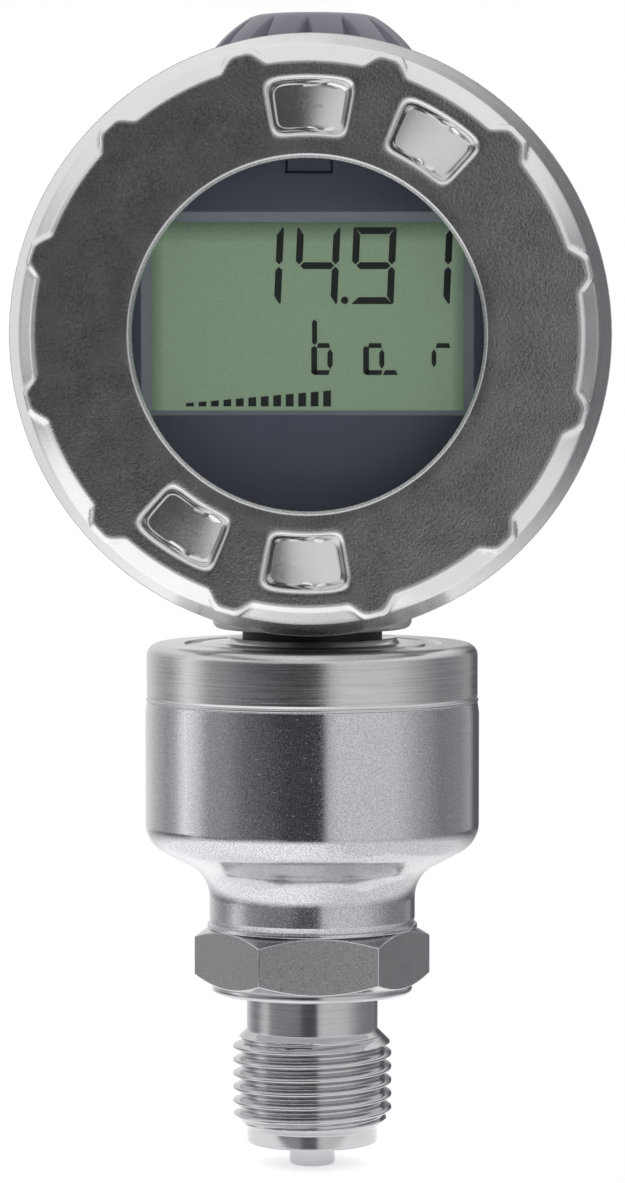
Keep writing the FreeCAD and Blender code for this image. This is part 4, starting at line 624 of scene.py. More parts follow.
cell_steel = steel("cell_steel", (0.62, 0.62, 0.63), 0.3, lines=0.5, grain=0.2)
gold = Finish("gold_plate", Metallic=1.0)
gold_cloud = gold.speckle(0.6)
gold.set("Base Color", gold.mixed(gold_cloud, (0.80, 0.55, 0.20, 1), (0.95, 0.70, 0.32, 1)))
gold.set("Roughness", gold_cloud * 0.15 + 0.18)
coat(cell_steel, "sensor_cell", "sensor_diaphragm", "cell_clamp_ring", "board_spacer")
coat(gold, "header_pins")


# Small hardware: the swivel's washer, nut and pin, screws, ring nuts and the knob's spindle, turned
# or stamped from the same stainless steel.

coat(cell_steel, "stop_washer", "swivel_locknut", "stop_pin", "module_screws", "encoder_nut", "knob_spindle",
     "knob_grub_screw", "switch_dome", "glass_retaining_ring", "connector_locknut")


# Seals: round rings and flat gaskets of black rubber, and the rubber strips that carry the
# contacts of the liquid-crystal cell.


def moulded(name, colour, roughness, grain=0.5, grain_size=0.3, depth=0.02, vary=0.1):
    """Plastic, rubber or paint: an even colour with a fine moulded grain."""
    finish = Finish(name)
    fine = finish.speckle(grain_size, detail=3.0)
    broad = finish.speckle(7.0, detail=1.0)
    shade = (fine - 0.5) * vary + (broad - 0.5) * vary + 0.5
    dark = [channel * 0.7 for channel in colour] + [1]
    bright = [min(channel * 1.3, 1) for channel in colour] + [1]
    finish.set("Base Color", finish.mixed(shade, dark, bright))
    finish.set("Roughness", (fine - 0.5) * 0.15 + (broad - 0.5) * 0.08 + roughness)
    finish.relief(fine * grain, depth)
    return finish


black_rubber = moulded("black_rubber", (0.012, 0.012, 0.013), 0.55, grain=0.6, grain_size=0.15)
coat(black_rubber, "cell_o_ring", "neck_o_ring", "neck_gasket", "cover_o_ring", "glass_gasket",
     "connector_gasket", "knob_seal", "contact_strips")


# Circuit boards: green solder mask over copper tracks on glass-fibre sheet, with black moulded
# chips and sockets and a grey round lead between them.

solder_mask = Finish("solder_mask", Specular_IOR_Level=0.6)
track_place = solder_mask.place()
tracks = solder_mask.add("TexBrick", {"offset": 0.5}, {
    "Vector": track_place, "Scale": 0.55, "Mortar Size": 0.05, "Mortar Smooth": 0.1,
    "Brick Width": 0.9, "Row Height": 0.35}, output="Fac")
pads = solder_mask.add("TexVoronoi", {"feature": "F1"}, {"Vector": track_place, "Scale": 0.7},
                       output="Distance")
pad = 1 - pads.ramped(0.18, 0.22)
weave = solder_mask.speckle(0.5)
board_colour = solder_mask.mixed(tracks, (0.010, 0.085, 0.030, 1), (0.022, 0.15, 0.06, 1))
solder_mask.set("Base Color", solder_mask.mixed(pad, board_colour, (0.55, 0.52, 0.45, 1)))
solder_mask.set("Metallic", pad * 0.9)
solder_mask.set("Roughness", weave * 0.15 + 0.28)
solder_mask.relief(tracks + pad * 0.6 + weave * 0.2, 0.03)
chip_black = moulded("chip_black", (0.02, 0.02, 0.021), 0.5, grain_size=0.12)
lead_sheath = moulded("lead_sheath", (0.16, 0.16, 0.17), 0.5)
coat(solder_mask, "sensor_board", "main_board", "display_board")
coat(chip_black, "sensor_chips", "sensor_socket", "main_board_parts", "supply_socket", "display_plug",
     "sensor_plug", "encoder_rotor")
coat(lead_sheath, "sensor_cable")


# Head: cast stainless steel, blasted all over with fine beads, so it is matt and slightly uneven,
# with its flange, bosses and bores machined afterwards.

blasted_steel = Finish("blasted_steel", Metallic=1.0)
bead = blasted_steel.speckle(0.28, detail=3.0)
wave = blasted_steel.speckle(6.0, detail=2.0)
blasted_steel.set("Base Color", blasted_steel.mixed(
    ((bead - 0.5) * 0.8 + (wave - 0.5) * 0.5 + 0.5), (0.52, 0.52, 0.525, 1), (0.76, 0.76, 0.765, 1)))
blasted_steel.set("Roughness", (bead - 0.5) * 0.2 + (wave - 0.5) * 0.15 + 0.42)
blasted_steel.relief(bead + wave * 0.6, 0.035)
coat(blasted_steel, "housing")


# Screw cover: cast like the head, with twelve grip teeth over its bevel, four pockets for a pin
# key and a rolled edge round the window. The front is blasted matt and its colour is darkened as
# painted shade for the dark room it faces; all the rest is tumbled bright.

ring_low, ring_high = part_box("cover_ring")
head_height = (ring_low.z + ring_high.z) / 2 / MM
ring_front = ring_low.y / MM
ring_back = ring_high.y / MM
ring_radius = ring_high.x / MM + 0.3
window_radius = 22.05
face_radius = 33.7
face_fall = 0.035
face_start = 24.0
face_edge = ring_front + (face_radius - face_start) * face_fall
roll_radius = 1.8
bevel_slope = math.tan(math.radians(53))
shoulder_radius = ring_radius - 2.2
shoulder_depth = face_edge + (shoulder_radius - face_radius - 0.7) * bevel_slope
tooth_count = 12
tooth_reach = 1.65
tooth_roll = 1.1
tooth_wall = math.radians(88)
tooth_tip_half_angle = 1.0
tooth_root_half_angle = 5.2
cover_clocking = 1.5
thread_bore = 33.9
seal_seat_inner = 35.05
seal_seat_outer = 36.95
seal_seat_depth = ring_back - 1.6
gasket_seat = 29.15
gasket_depth = ring_front + 6.0
ring_nut_depth = ring_front + 8.2
lip_radius = 26.2
lip_depth = ring_front + 2.6
rim_rows = 76
columns_per_tooth = 44
ring_columns = tooth_count * columns_per_tooth


def smooth_step(value, low, high):
    """0 at low and 1 at high, with a soft start and end."""
    share = min(max((value - low) / (high - low), 0), 1)
    return share * share * (3 - 2 * share)


def tooth_angle(column):
    """The angle of a column of points, in degrees from a tooth's middle: they crowd round the teeth."""
    share = (column % columns_per_tooth) / columns_per_tooth - 0.5
    half_pitch = 180 / tooth_count
    return 2 * half_pitch * (share * 0.55 + 0.45 * 4 * share ** 3)


def subdivided(outline, step):
    """The outline with points added, so that none of its edges is longer than step."""
    fine = [outline[0]]
    for here, there in zip(outline, outline[1:]):
        count = math.ceil((there - here).length / step)
        fine += [here.lerp(there, k / count) for k in range(1, count + 1)]
    return fine


ring_rim = subdivided(rounded([
    (face_radius - 0.7, face_edge - 0.7 * face_fall),
    (face_radius + 0.7, face_edge + 0.7 * face_fall, roll_radius),
    (shoulder_radius, shoulder_depth, 3.0),
    (shoulder_radius + 0.45, shoulder_depth + 2.6),
    (shoulder_radius + 1.2, shoulder_depth + 6.95),
], 12), 0.02)
inside_rim = rounded([
    (window_radius, lip_depth),
    (window_radius, ring_front + 0.55, 0.25),
    (window_radius + 0.45, ring_front, 0.35),
    (face_start, ring_front),
], 5)
behind_rim = rounded([
    (ring_radius - 0.1, ring_back - 1.2),
    (ring_radius, ring_back, 0.3),
    (seal_seat_outer, ring_back),
    (seal_seat_outer, seal_seat_depth),
    (seal_seat_inner, seal_seat_depth),
    (seal_seat_inner, ring_back),
    (thread_bore, ring_back, 0.3),
    (thread_bore, ring_nut_depth),
    (gasket_seat, ring_nut_depth),
    (gasket_seat, gasket_depth),
    (lip_radius, gasket_depth),
    (lip_radius, lip_depth),
    (window_radius, lip_depth),
], 5)


def tooth_edge(off_tooth):
    """How far out the flat front reaches, so many degrees off a tooth's middle."""
    away = smooth_step(abs(off_tooth), tooth_tip_half_angle, tooth_root_half_angle)
    return face_radius + tooth_reach * (1 - away)


def tooth_depth(radius, off_tooth):
    """How deep a tooth's skin lies below the front: its rolled edge has the same width all round."""
    step = 0.1
    rise = tooth_edge(off_tooth + step) - tooth_edge(off_tooth - step)
    steepness = rise / (radius * math.radians(2 * step))
    beyond = (radius - tooth_edge(off_tooth)) / math.hypot(1, steepness)
    roll_width = tooth_roll * math.sin(tooth_wall)
    if beyond <= 0:
        return 0
    if beyond < roll_width:
        return tooth_roll - math.sqrt(tooth_roll ** 2 - beyond ** 2)
    return tooth_roll * (1 - math.cos(tooth_wall)) + (beyond - roll_width) * math.tan(tooth_wall)


def face_point(radius, angle, depth):
    """A point on the head, at an angle in degrees clockwise from the top as its reader sees it."""
    turn = math.radians(angle)
    return radius * math.sin(turn), depth, head_height + radius * math.cos(turn)


def evenly(outline, count):
    """So many points at equal steps along an outline."""
    lengths = [0]
    for here, there in zip(outline, outline[1:]):
        lengths.append(lengths[-1] + (there - here).length)
    points = []
    k = 0
    for step in range(count):
        wanted = lengths[-1] * step / (count - 1)
        while k < len(outline) - 2 and lengths[k + 1] < wanted:
            k += 1
        share = (wanted - lengths[k]) / (lengths[k + 1] - lengths[k])
        points.append(outline[k].lerp(outline[k + 1], share))
    return points


def rim_outline(column):
    """The rim's outline at one column of points, brought forward where a tooth stands on the bevel."""
    off_tooth = tooth_angle(column)
    outline = []
    for radius, depth in ring_rim:
        on_bevel = depth - ring_front
        on_tooth = tooth_depth(radius, off_tooth) + (radius - face_start) * face_fall
        softness = 0.7 * smooth_step(min(on_bevel, on_tooth), 0.4, 1.6)
        nearer = (on_bevel + on_tooth - math.hypot(on_bevel - on_tooth, softness)) / 2
        outline.append(Vector((radius, ring_front + nearer)))
    return evenly(outline, rim_rows)


rim_outlines = [rim_outline(column) for column in range(columns_per_tooth)]


def cover_point(row, column):
    """A point on the cover's skin."""
    section = inside_rim + rim_outlines[column % columns_per_tooth] + behind_rim
    radius, depth = section[row]
    tooth = column // columns_per_tooth
    middle = cover_clocking + (tooth + 0.5) * 360 / tooth_count
    return face_point(radius, middle + tooth_angle(column), depth)


cover = wrapped("cover_casting", len(inside_rim + behind_rim) + rim_rows - 1, ring_columns, cover_point)

pocket_inner = 25.1
pocket_outer = 32.0
pocket_half_angle = 10.0
pocket_spread = 16.0
pocket_depth = 1.5
pocket_swell = 0.25
pocket_squareness = 7
pocket_sides = 72


def pocket_ring(angle, grow, depth, swell=0.0, lean=0.0):
    """The pocket's outline, a sector with round corners, grown or shrunk all round. Its floor may
    swell forward in the middle and lean to one side."""
    middle = (pocket_inner + pocket_outer) / 2
    half_width = middle * math.radians(pocket_half_angle)
    half_height = (pocket_outer - pocket_inner) / 2
    points = []
    for k in range(pocket_sides):
        turn = math.tau * (k + 0.5) / pocket_sides
        square = abs(math.cos(turn)) ** pocket_squareness + abs(math.sin(turn)) ** pocket_squareness
        reach = square ** (-1 / pocket_squareness)
        along = (half_width + grow) * math.cos(turn) * reach
        out = (half_height + grow) * math.sin(turn) * reach
        share = along / half_width
        fall = (middle + out - face_start) * face_fall
        lie = depth + fall - swell * (1 - share ** 2) - lean * share
        points.append(face_point(middle + out, angle + math.degrees(along / middle), lie))
    return points


def pocket_punch(angle, lean):
    """The punch that presses one pocket: rolled rim, steep walls and a smooth swelling floor."""
    steps = [(0.85, -0.4), (0.62, -0.015), (0.40, 0.03), (0.17, 0.14), (-0.02, 0.32), (-0.15, 0.58),
             (-0.22, 0.9), (-0.32, 1.2), (-0.52, 1.42)]
    rings = [pocket_ring(angle, grow, ring_front + depth) for grow, depth in steps]
    for grow in (-0.8, -1.2, -1.7, -2.2, -2.7, -3.1, -3.4):
        rings.append(pocket_ring(angle, grow, ring_front + pocket_depth, pocket_swell, lean))
    punch = wrapped("pocket_punch", len(rings) - 1, pocket_sides,
                    lambda row, column: rings[row][column % pocket_sides])
    bpy.ops.object.mode_set(mode="EDIT")
    bpy.ops.mesh.select_all(action="SELECT")
    bpy.ops.mesh.fill_holes(sides=0)
    bpy.ops.mesh.normals_make_consistent(inside=False)
    bpy.ops.object.mode_set(mode="OBJECT")
    return punch


first_tooth = cover_clocking + 180 / tooth_count
pocket_leans = {-pocket_spread: -0.4, pocket_spread: -0.8, 180 - pocket_spread: 0.8, 180 + pocket_spread: 0.4}
for off_top, lean in pocket_leans.items():
    cut(cover, pocket_punch(first_tooth + off_top, lean))

cover_steel = Finish("cover_steel", Metallic=1.0)
cover_x, cover_y, cover_z = cover_steel.parts_of(cover_steel.place())
off_axis = (cover_x * cover_x + (cover_z - head_height) ** 2.0) ** 0.5
below_face = cover_y - ring_front - (off_axis - face_start) * face_fall
on_face = (1 - below_face.ramped(0.05, 0.14)) * off_axis.ramped(window_radius + 0.3, window_radius + 0.5)
in_pocket = below_face.ramped(0.5, 0.8) * (1 - off_axis.ramped(33.0, 33.2))
bead = cover_steel.speckle(0.30, detail=3.0)
wave = cover_steel.speckle(5.0, detail=2.0)
tumbled_cloud = (bead - 0.5) * 0.5 + (wave - 0.5) * 0.4 + 0.5
tumbled = cover_steel.mixed(tumbled_cloud, (0.62, 0.62, 0.625, 1), (0.82, 0.82, 0.825, 1))
matt_cloud = (bead - 0.5) * 0.9 + (wave - 0.5) * 0.4 + 0.5
# painted shade: the front's steel is coloured far darker than the rest, for the dark room in front that it
# mirrors; its cloud is the blasting's grain
matt_painted_shade = cover_steel.mixed(matt_cloud, (0.20, 0.198, 0.203, 1), (0.41, 0.407, 0.416, 1))
cover_steel.set("Base Color", cover_steel.mixed(on_face, tumbled, matt_painted_shade))
cover_wear = on_face * 0.03 - in_pocket * 0.09 + (bead - 0.5) * 0.12 + (wave - 0.5) * 0.08
cover_steel.set("Roughness", cover_wear + 0.26)
cover_steel.relief(bead * (on_face * 0.75 - in_pocket * 0.15 + 0.2) + wave * 0.5, 0.035)
dress(cover, cover_steel, "cover", "cast_steel", "cover_ring")


# Window: flat hardened glass, seen as a faint reflection over what lies behind it.

window_glass = Finish("window_glass")
clear = window_glass.add("BsdfTransparent", values={"Color": (0.97, 0.985, 0.975, 1)}, output="BSDF")
gleam = window_glass.add("BsdfGlossy", values={"Color": (1, 1, 1, 1), "Roughness": 0.02}, output="BSDF")
edge_on = window_glass.add("Fresnel", values={"IOR": 1.45}, output="Fac")
haze = window_glass.speckle(14.0)
pane = window_glass.add("MixShader", values=[edge_on * (haze * 0.2 + 0.6), clear, gleam], output="Shader")
window_glass.feed(window_glass.tree.nodes["Material Output"].inputs["Surface"], pane)
coat(window_glass, "cover_glass")


# Display module: a moulded cup with a bevelled opening for the screen and a sprung latch at its
# top. Both are dark blue-grey plastic with a fine eroded grain; all of the cup behind its front,
# the opening's bevel most in view, is painted lighter as a painted highlight.

bezel_plastic = moulded("bezel_plastic", (0.116, 0.118, 0.178), 0.46, grain=0.5, grain_size=0.18, vary=0.12)
display_low, display_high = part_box("display_bezel")
display_front = display_low.y / MM
# painted highlight: all that lies more than 0.2 mm behind the front, the screen opening's bevel most in view,
# is painted lighter and bluer for the light from below and in front
bezel_depth = bezel_plastic.parts_of(bezel_plastic.place())[1] - display_front
plain_colour = bezel_plastic.shader.inputs["Base Color"].links[0].from_socket
bezel_plastic.set("Base Color", bezel_plastic.mixed(
    bezel_depth.ramped(0.05, 0.2) * 0.8, Signal(bezel_plastic, plain_colour), (0.42, 0.43, 0.52, 1)))
display_back = display_high.y / MM
display_radius = display_high.x / MM
screen_centre = head_height + 2.4
screen_middle = -0.22
screen_width = 39.6
screen_height = 23.8
screen_bevel = 1.4
screen_lower_bevel = 0.7
screen_left = screen_middle - screen_width / 2
screen_right = screen_middle + screen_width / 2
screen_bottom = screen_centre - screen_height / 2
screen_top = screen_centre + screen_height / 2
plate = 1.5
plate_back = display_front + plate
skirt = 1.5
head_middle = (0, 0, head_height)
bezel = turned("display_bezel_moulding", rounded([
    (0, display_front),
    (display_radius, display_front, 0.6),
    (display_radius, display_back),
    (display_radius - skirt, display_back),
    (display_radius - skirt, plate_back, 0.4),
    (0, plate_back),
]), middle=head_middle, axis=(0, 1, 0))


def box_between(name, low, high):
    """A block between two corners in millimetres."""
    low = Vector(low)
    high = Vector(high)
    bpy.ops.object.select_all(action="DESELECT")
    bpy.ops.mesh.primitive_cube_add(size=1, location=(low + high) / 2 * MM, scale=(high - low) * MM)
    piece = bpy.context.object
    piece.name = name
    bpy.ops.object.transform_apply(location=True, rotation=True, scale=True)
    return piece


overshoot = 0.5
flare = (plate + overshoot) / plate
opening = box_between("screen_opening", (screen_left, display_front - overshoot, screen_bottom),
                      (screen_right, plate_back + overshoot, screen_top))
for vertex in opening.data.vertices:
    if vertex.co.y < display_front * MM:
        vertex.co.x += math.copysign(screen_bevel * flare, vertex.co.x) * MM
        if vertex.co.z > screen_centre * MM:
            vertex.co.z += screen_bevel * flare * MM
        else:
            vertex.co.z -= screen_lower_bevel * flare * MM
    else:
        vertex.co.y = plate_back * MM
throat = box_between("screen_throat", (screen_left, plate_back - 0.01, screen_bottom),
                     (screen_right, plate_back + overshoot, screen_top))
cut(opening, throat, "UNION")
cut(bezel, opening)
latch_bottom = head_height + 20.5
latch_top = latch_bottom + 4.0
latch_back = plate_back + 1
latch_play = 0.25
latch_recess = 0.4
slot_side = 3
leg_side = 4
latch_slot = box_between("latch_slot", (-slot_side, display_front - 1, latch_bottom),
                         (slot_side, latch_back, latch_top))
cut(bezel, latch_slot)
broken_edges(bezel, 0.12)
dress(bezel, bezel_plastic, "head", "display_plastic", "display_bezel")

tongue_side = slot_side - latch_play
latch = box_between("latch_tongue", (-tongue_side, display_front + latch_recess, latch_bottom + latch_play),
                    (tongue_side, latch_back, latch_top - latch_play))
leg = box_between("latch_leg", (-leg_side, plate_back, latch_bottom), (leg_side, latch_back, latch_top + 1.0))
cut(latch, leg, "UNION")
broken_edges(latch, 0.15)
latch_plastic = moulded("latch_plastic", (0.116, 0.118, 0.178), 0.46, grain=0.5, grain_size=0.18, vary=0.12)
dress(latch, latch_plastic, "head", "display_plastic", "display_latch")


# Liquid-crystal cell: glass with a grey-green reflector behind it. Its dark segments show a plain
# reading, a unit and a row of rising bars. Its green is given a painted glow, and painted shade
# darkens it towards its sides and top.

# painted glow: the cell emits its own colour, lifting it out of the shade of the cover round it
lcd_green_painted_glow = Finish("lcd_green_painted_glow", Emission_Strength=0.72, Specular_IOR_Level=0.3)
lcd_x, _, lcd_z = lcd_green_painted_glow.parts_of(lcd_green_painted_glow.place())
# painted shade: the colour darkens towards the screen's left and right edges and its top; the fine speckle is
# the cell's own grain
side_shade = lcd_x.worked("ABSOLUTE", lcd_x - screen_middle).ramped(18.2, 20.4)
top_shade = (lcd_z - screen_centre).ramped(9.3, 12.4)
pixel_grain = lcd_green_painted_glow.speckle(0.3, detail=2.0)
painted_shade_and_grain = side_shade * 0.8 + top_shade * 0.95 + (pixel_grain - 0.5) * 0.4 + 0.03
tint_with_painted_shade = lcd_green_painted_glow.mixed(painted_shade_and_grain, (0.175, 0.235, 0.165, 1), (0.045, 0.068, 0.042, 1))
lcd_green_painted_glow.set("Base Color", tint_with_painted_shade)
lcd_green_painted_glow.set("Emission Color", tint_with_painted_shade)
lcd_green_painted_glow.set("Roughness", pixel_grain * 0.1 + 0.35)
coat(lcd_green_painted_glow, "lcd_glass")
reflector_film = moulded("reflector_film", (0.55, 0.57, 0.55), 0.35)
guide_acrylic = moulded("guide_acrylic", (0.75, 0.78, 0.76), 0.2)
coat(reflector_film, "lcd_reflector")
coat(guide_acrylic, "light_guide")

digit_width = 5.5
digit_height = 9.75
stroke = 0.88
gap = 0.14
digit_base = screen_centre + 1.55
slant = math.tan(math.radians(2.5))
segment_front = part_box("lcd_glass")[0].y / MM - 0.02
segment_depth = 0.04
middle_height = digit_height / 2
inner = digit_width - stroke
digit_segments = {
    "a": [(gap, digit_height), (digit_width - gap, digit_height), (inner - gap, digit_height - stroke),
          (stroke + gap, digit_height - stroke)],
    "b": [(digit_width, digit_height - gap), (digit_width, middle_height + stroke / 2 + gap),
          (digit_width - stroke / 2, middle_height + gap), (inner, middle_height + stroke / 2 + gap),
          (inner, digit_height - stroke - gap), (digit_width - 0.2, digit_height)],
    "g": [(stroke / 2 + gap, middle_height), (stroke + gap, middle_height + stroke / 2),
          (inner - gap, middle_height + stroke / 2), (digit_width - stroke / 2 - gap, middle_height),
          (inner - gap, middle_height - stroke / 2), (stroke + gap, middle_height - stroke / 2)],
}
digit_segments["c"] = [(x, digit_height - z) for x, z in digit_segments["b"]]
digit_segments["d"] = [(x, digit_height - z) for x, z in digit_segments["a"]]
digit_segments["f"] = [(digit_width - x, z) for x, z in digit_segments["b"]]
digit_shapes = {"1": "bc", "4": "fgbc", "9": "afbgcd"}
four_left = -1.95
reading = [("1", -9.12), ("4", four_left), ("9", 5.2), ("1", 12.35)]
flat_shapes = []
for figure, left in reading:
    for name in digit_shapes[figure]:
        flat_shapes.append([(left + x + z * slant, digit_base + z) for x, z in digit_segments[name]])
dot_x = four_left + digit_width + 0.95
dot_radius = 0.48
dot_sides = 16
dot_turns = [math.tau * k / dot_sides for k in range(dot_sides)]
dot_middle = digit_base + dot_radius
flat_shapes.append([(dot_x + dot_radius * math.cos(turn), dot_middle + dot_radius * math.sin(turn))
                    for turn in dot_turns])


def bar_shape(left, bottom, right, top, taper=0.0):
    """A straight letter stroke with its ends cut aslant."""
    if right - left > top - bottom:
        return [(left, bottom), (right, bottom), (right - taper, top), (left + taper, top)]
    middle = (left + right) / 2
    return [(left, bottom + taper), (middle, bottom), (right, bottom + taper),
            (right, top - taper), (middle, top), (left, top - taper)]


# each stroke of the unit's letters: left, bottom, right and top above the letters' foot, and taper
letter_foot = screen_centre - 7.45
letter_strokes = [
    (0.25, 0, 1.00, 3.70, 0.25), (0.35, 3.80, 1.00, 7.05, 0.3), (0.98, 3.43, 2.65, 4.05, 0.15),
    (2.30, 0.75, 2.98, 3.30, 0.5), (0.65, 0, 2.45, 0.62, -0.15),
    (6.85, 0, 7.60, 3.70, 0.25), (7.45, 3.43, 9.25, 4.05, 0.15), (8.90, 0.75, 9.55, 3.30, 0.5),
    (7.25, 0, 9.15, 0.62, -0.15), (9.32, 0, 11.30, 0.62, 0.35),
    (15.55, 0.95, 16.15, 3.30, 0.5), (16.05, 3.43, 17.95, 4.05, 0.2),
]
for left, bottom, right, top, taper in letter_strokes:
    flat_shapes.append(bar_shape(left, letter_foot + bottom, right, letter_foot + top, taper))
graph_count = 12
graph_pitch = 1.588
graph_left = -15.7
graph_bar = 1.0
graph_foot = screen_centre - 11.45
first_bar_height = 0.46
bar_height_step = 0.14
bar_slant = 0.06
for k in range(graph_count):
    left = graph_left + k * graph_pitch
    right = left + graph_bar
    top = graph_foot + first_bar_height + k * bar_height_step
    flat_shapes.append([(left, graph_foot), (right, graph_foot), (right, top + bar_slant),
                        (left, top - bar_slant)])

segments = None
for outline in flat_shapes:
    bpy.ops.object.select_all(action="DESELECT")
    bpy.ops.mesh.primitive_circle_add(vertices=len(outline), radius=MM, fill_type="NGON")
    shape = bpy.context.object
    for vertex, (x, z) in zip(shape.data.vertices, outline):
        vertex.co = Vector((x, segment_front, z)) * MM
    bpy.ops.object.mode_set(mode="EDIT")
    bpy.ops.mesh.select_all(action="SELECT")
    bpy.ops.mesh.extrude_region_move(TRANSFORM_OT_translate={"value": (0, segment_depth * MM, 0)})
    bpy.ops.mesh.select_all(action="SELECT")
    bpy.ops.mesh.normals_make_consistent(inside=False)
    bpy.ops.object.mode_set(mode="OBJECT")
    if segments:
        segments.select_set(True)
        bpy.context.view_layer.objects.active = segments
        bpy.ops.object.join()
    else:
        segments = shape
segments.name = "lcd_segments"
segment_dark = moulded("segment_dark", (0.008, 0.014, 0.013), 0.4, grain_size=0.2)
dress(segments, segment_dark, "head", "lcd_cell")


# Electronics module: a black plastic cup with its boards, screwed to posts in the back of the head.

module_black = moulded("module_black", (0.02, 0.02, 0.022), 0.45)
coat(module_black, "electronics_pot", "board_standoffs", "encoder_body", "vent_plug")


# Setting knob: a moulded dome with twelve pointed grip flutes, pressed on the encoder's spindle. It
# is glass-filled plastic, dark grey with a touch of violet, and slightly glossy on its ribs.

knob_low, knob_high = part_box("knob")
knob_bottom = knob_low.z / MM
knob_top = knob_high.z / MM
knob_axis = (knob_low.y + knob_high.y) / 2 / MM
knob_base_radius = knob_high.x / MM
dome_radius = 16.65
dome_centre = knob_bottom - math.sqrt(dome_radius ** 2 - knob_base_radius ** 2)
flute_count = 12
flute_base_root = 13.2
flute_top_root = 8.4
flute_spread = 1.5 / (15.25 - flute_base_root)
flute_clocking = 26.0
knob_columns = flute_count * 32
dome_rows = 30
edge_softness = 0.12


def soft_least(first, second):
    """The smaller of two numbers, with the change from one to the other rounded off."""
    half = math.hypot(first - second, edge_softness) / 2
    return (first + second) / 2 - half


def fluted_radius(height, angle):
    """How far out the knob's skin lies at a height and an angle."""
    dome = math.sqrt(dome_radius ** 2 - (height - dome_centre) ** 2)
    rise = height - knob_bottom
    root = flute_base_root - (flute_base_root - flute_top_root) * rise / (knob_top - knob_bottom)
    pitch = math.tau / flute_count
    off_flute = abs((angle - math.radians(flute_clocking) + pitch / 2) % pitch - pitch / 2)
    opening_rate = flute_spread * math.cos(off_flute) - math.sin(off_flute)
    if opening_rate <= 0:
        return dome
    return min(dome, soft_least(dome, flute_spread * root / opening_rate))


knob_heights = [knob_bottom + (knob_top - knob_bottom) * (k / dome_rows) for k in range(dome_rows + 1)]
knob_roof = knob_top - 1.8
hub_bottom = knob_bottom + 3.1
hub_bore = 3.05
hub_radius = 5.5
dome_bore = 7.9
skirt_bore = 12.7
skirt_lip = 1.2
knob_inside = [(0.0, knob_top), (0.0, knob_roof), (hub_bore, knob_roof), (hub_bore, hub_bottom),
               (hub_radius, hub_bottom), (hub_radius, knob_roof), (dome_bore, knob_roof),
               (skirt_bore, knob_bottom + skirt_lip), (skirt_bore, knob_bottom)]
crown_rounding = 0.35


def knob_point(row, column):
    """A point on the knob: up the fluted dome, over its flat top, then the hollow below."""
    angle = math.tau * column / knob_columns
    if row <= dome_rows:
        height = knob_heights[row]
        radius = fluted_radius(height, angle)
        if row == dome_rows:
            radius -= crown_rounding
        height = min(height, knob_top)
    elif row <= dome_rows + len(knob_inside):
        radius, height = knob_inside[row - dome_rows - 1]
    else:
        height = knob_bottom
        radius = fluted_radius(height, angle)
    return radius * math.cos(angle), knob_axis + radius * math.sin(angle), height


knob = wrapped("setting_knob", dome_rows + len(knob_inside) + 1, knob_columns, knob_point)
knob_plastic = moulded("knob_plastic", (0.172, 0.168, 0.210), 0.36, grain=0.5, grain_size=0.2, vary=0.15)
dress(knob, knob_plastic, "knob_unit", "knob_plastic", "knob", smooth=30)


# Rear connector: nickel-plated brass M12 nose with a hexagon, a black contact carrier with its key
# and four gold-plated pins with round ends.

nickel = steel("nickel_plate", (0.70, 0.67, 0.61), 0.2, lines=0.3, spin_axis="Y", grain=0.15)
shell_low, shell_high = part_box("connector_shell")
nose_end = shell_high.y / MM
stem_front = shell_low.y / MM
hex_front = 28.3
hex_back = 31.3
nose_radius = 6.0
nose_root = nose_radius - 0.62
nose_pitch = 1.0
bore_radius = 4.4
bore_floor = nose_end - 9.0
stem_bore = 4.7
stem_radius = 7.5
neck_of_nose = nose_root - 0.1
connector_across_flats = 17.0
inside_stem = stem_radius - 0.5
inside_neck = 5.2
first_turn = hex_back + 0.3
nose_steps = int((nose_end - hex_back - 0.4) / nose_pitch * 10)
nose_depths = [first_turn + (nose_end - 0.1 - first_turn) * k / nose_steps for k in range(nose_steps + 1)]
shell_rows = (
    [(stem_bore, bore_floor, False), (stem_bore, stem_front, False), (stem_radius, stem_front, False),
     (stem_radius, hex_front, False), (stem_radius, hex_back - 0.2, False),
     (neck_of_nose, hex_back - 0.2, False), (neck_of_nose, first_turn, False)]
    + [(0, depth, True) for depth in nose_depths]
    + [(bore_radius + 0.3, nose_end, False), (bore_radius, nose_end - 0.3, False),
       (bore_radius, bore_floor, False), (stem_bore, bore_floor, False)]
)
shell_columns = 96


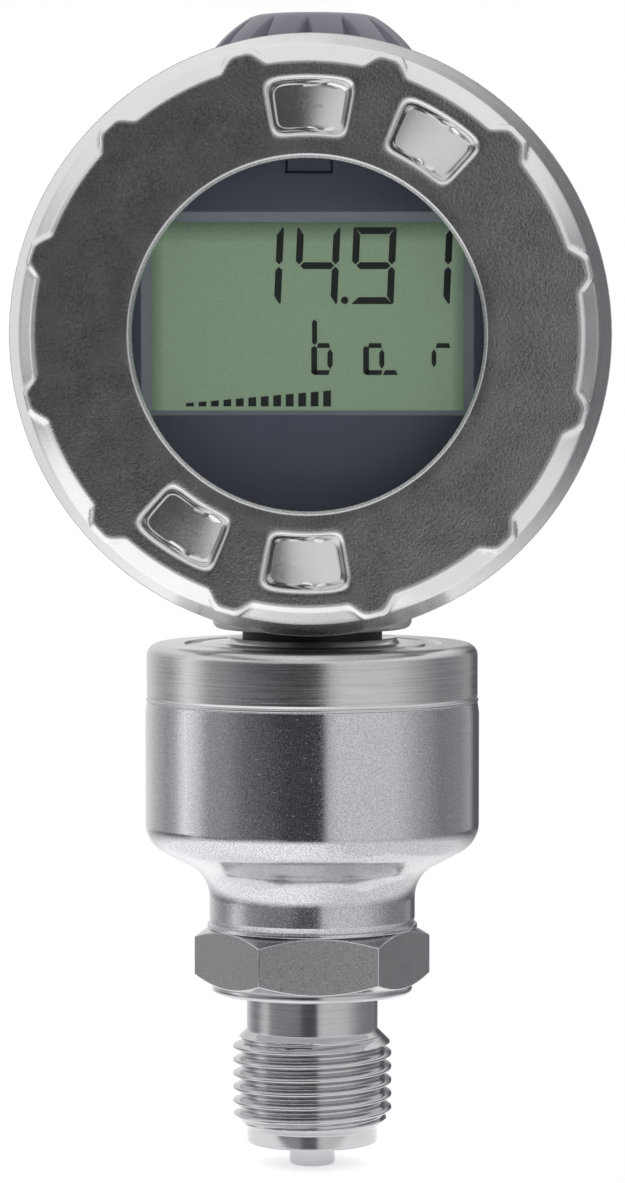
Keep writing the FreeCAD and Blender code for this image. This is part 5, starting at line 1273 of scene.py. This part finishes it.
def shell_point(row, column):
    """A point on the threaded nose and its stem."""
    radius, depth, threaded = shell_rows[row]
    angle = math.tau * column / shell_columns
    if threaded:
        cone = relief_cone(depth, hex_back, nose_end, neck_of_nose)
        radius = min(thread_radius_at(depth, angle, nose_pitch, nose_radius, nose_root), cone)
    return radius * math.sin(angle), depth, head_height + radius * math.cos(angle)


nose = wrapped("connector_nose", len(shell_rows) - 1, shell_columns, shell_point)
nose_flats = hexagon("connector_hexagon", connector_across_flats, hex_front, hex_back, middle=head_middle,
                     axis=(0, 1, 0))
bore_outline = [(0, hex_front - 1), (inside_stem, hex_front - 1), (inside_stem, hex_back - 1),
                (inside_neck, hex_back - 1), (inside_neck, hex_back + 1), (0, hex_back + 1)]
nose_bore = turned("hexagon_bore", bore_outline, shell_columns, head_middle, (0, 1, 0))
cut(nose_flats, nose_bore)
broken_edges(nose_flats, 0.12)
cut(nose, nose_flats, "UNION")
dress(nose, nickel, "head", "plated_brass", "connector_shell")
carrier_black = moulded("carrier_black", (0.018, 0.018, 0.02), 0.4, grain_size=0.15)
coat(carrier_black, "connector_insert")
contacts_low, contacts_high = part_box("connector_contacts")
contact_front = contacts_low.y / MM
contact_end = contacts_high.y / MM
contact_offset = 2.75 / math.sqrt(2)
contact_radius = 0.5
for side_x in (-1, 1):
    for side_z in (-1, 1):
        contact = turned("pin_" + "lr"[side_x > 0] + "bt"[side_z > 0], rounded([
            (0, contact_front),
            (contact_radius, contact_front, 0.15),
            (contact_radius, contact_end - 0.6, 0.3),
            (contact_radius * 0.55, contact_end, 0.25),
            (0, contact_end),
        ], 4), 24, (side_x * contact_offset, 0, head_height + side_z * contact_offset), (0, 1, 0))
        dress(contact, gold, "head", "gold_contacts", "connector_contacts")


# Earth terminal and vent on the back of the head: a slotted steel screw on its saddle, and a black
# cap with notches over the breathing membrane.

screw_steel = steel("screw_steel", (0.58, 0.58, 0.58), 0.3, lines=0.3, spin_axis="Y", grain=0.3)
membrane_white = moulded("membrane_white", (0.75, 0.75, 0.73), 0.8)
coat(screw_steel, "earth_screw", "earth_clamp")
coat(membrane_white, "vent_membrane")
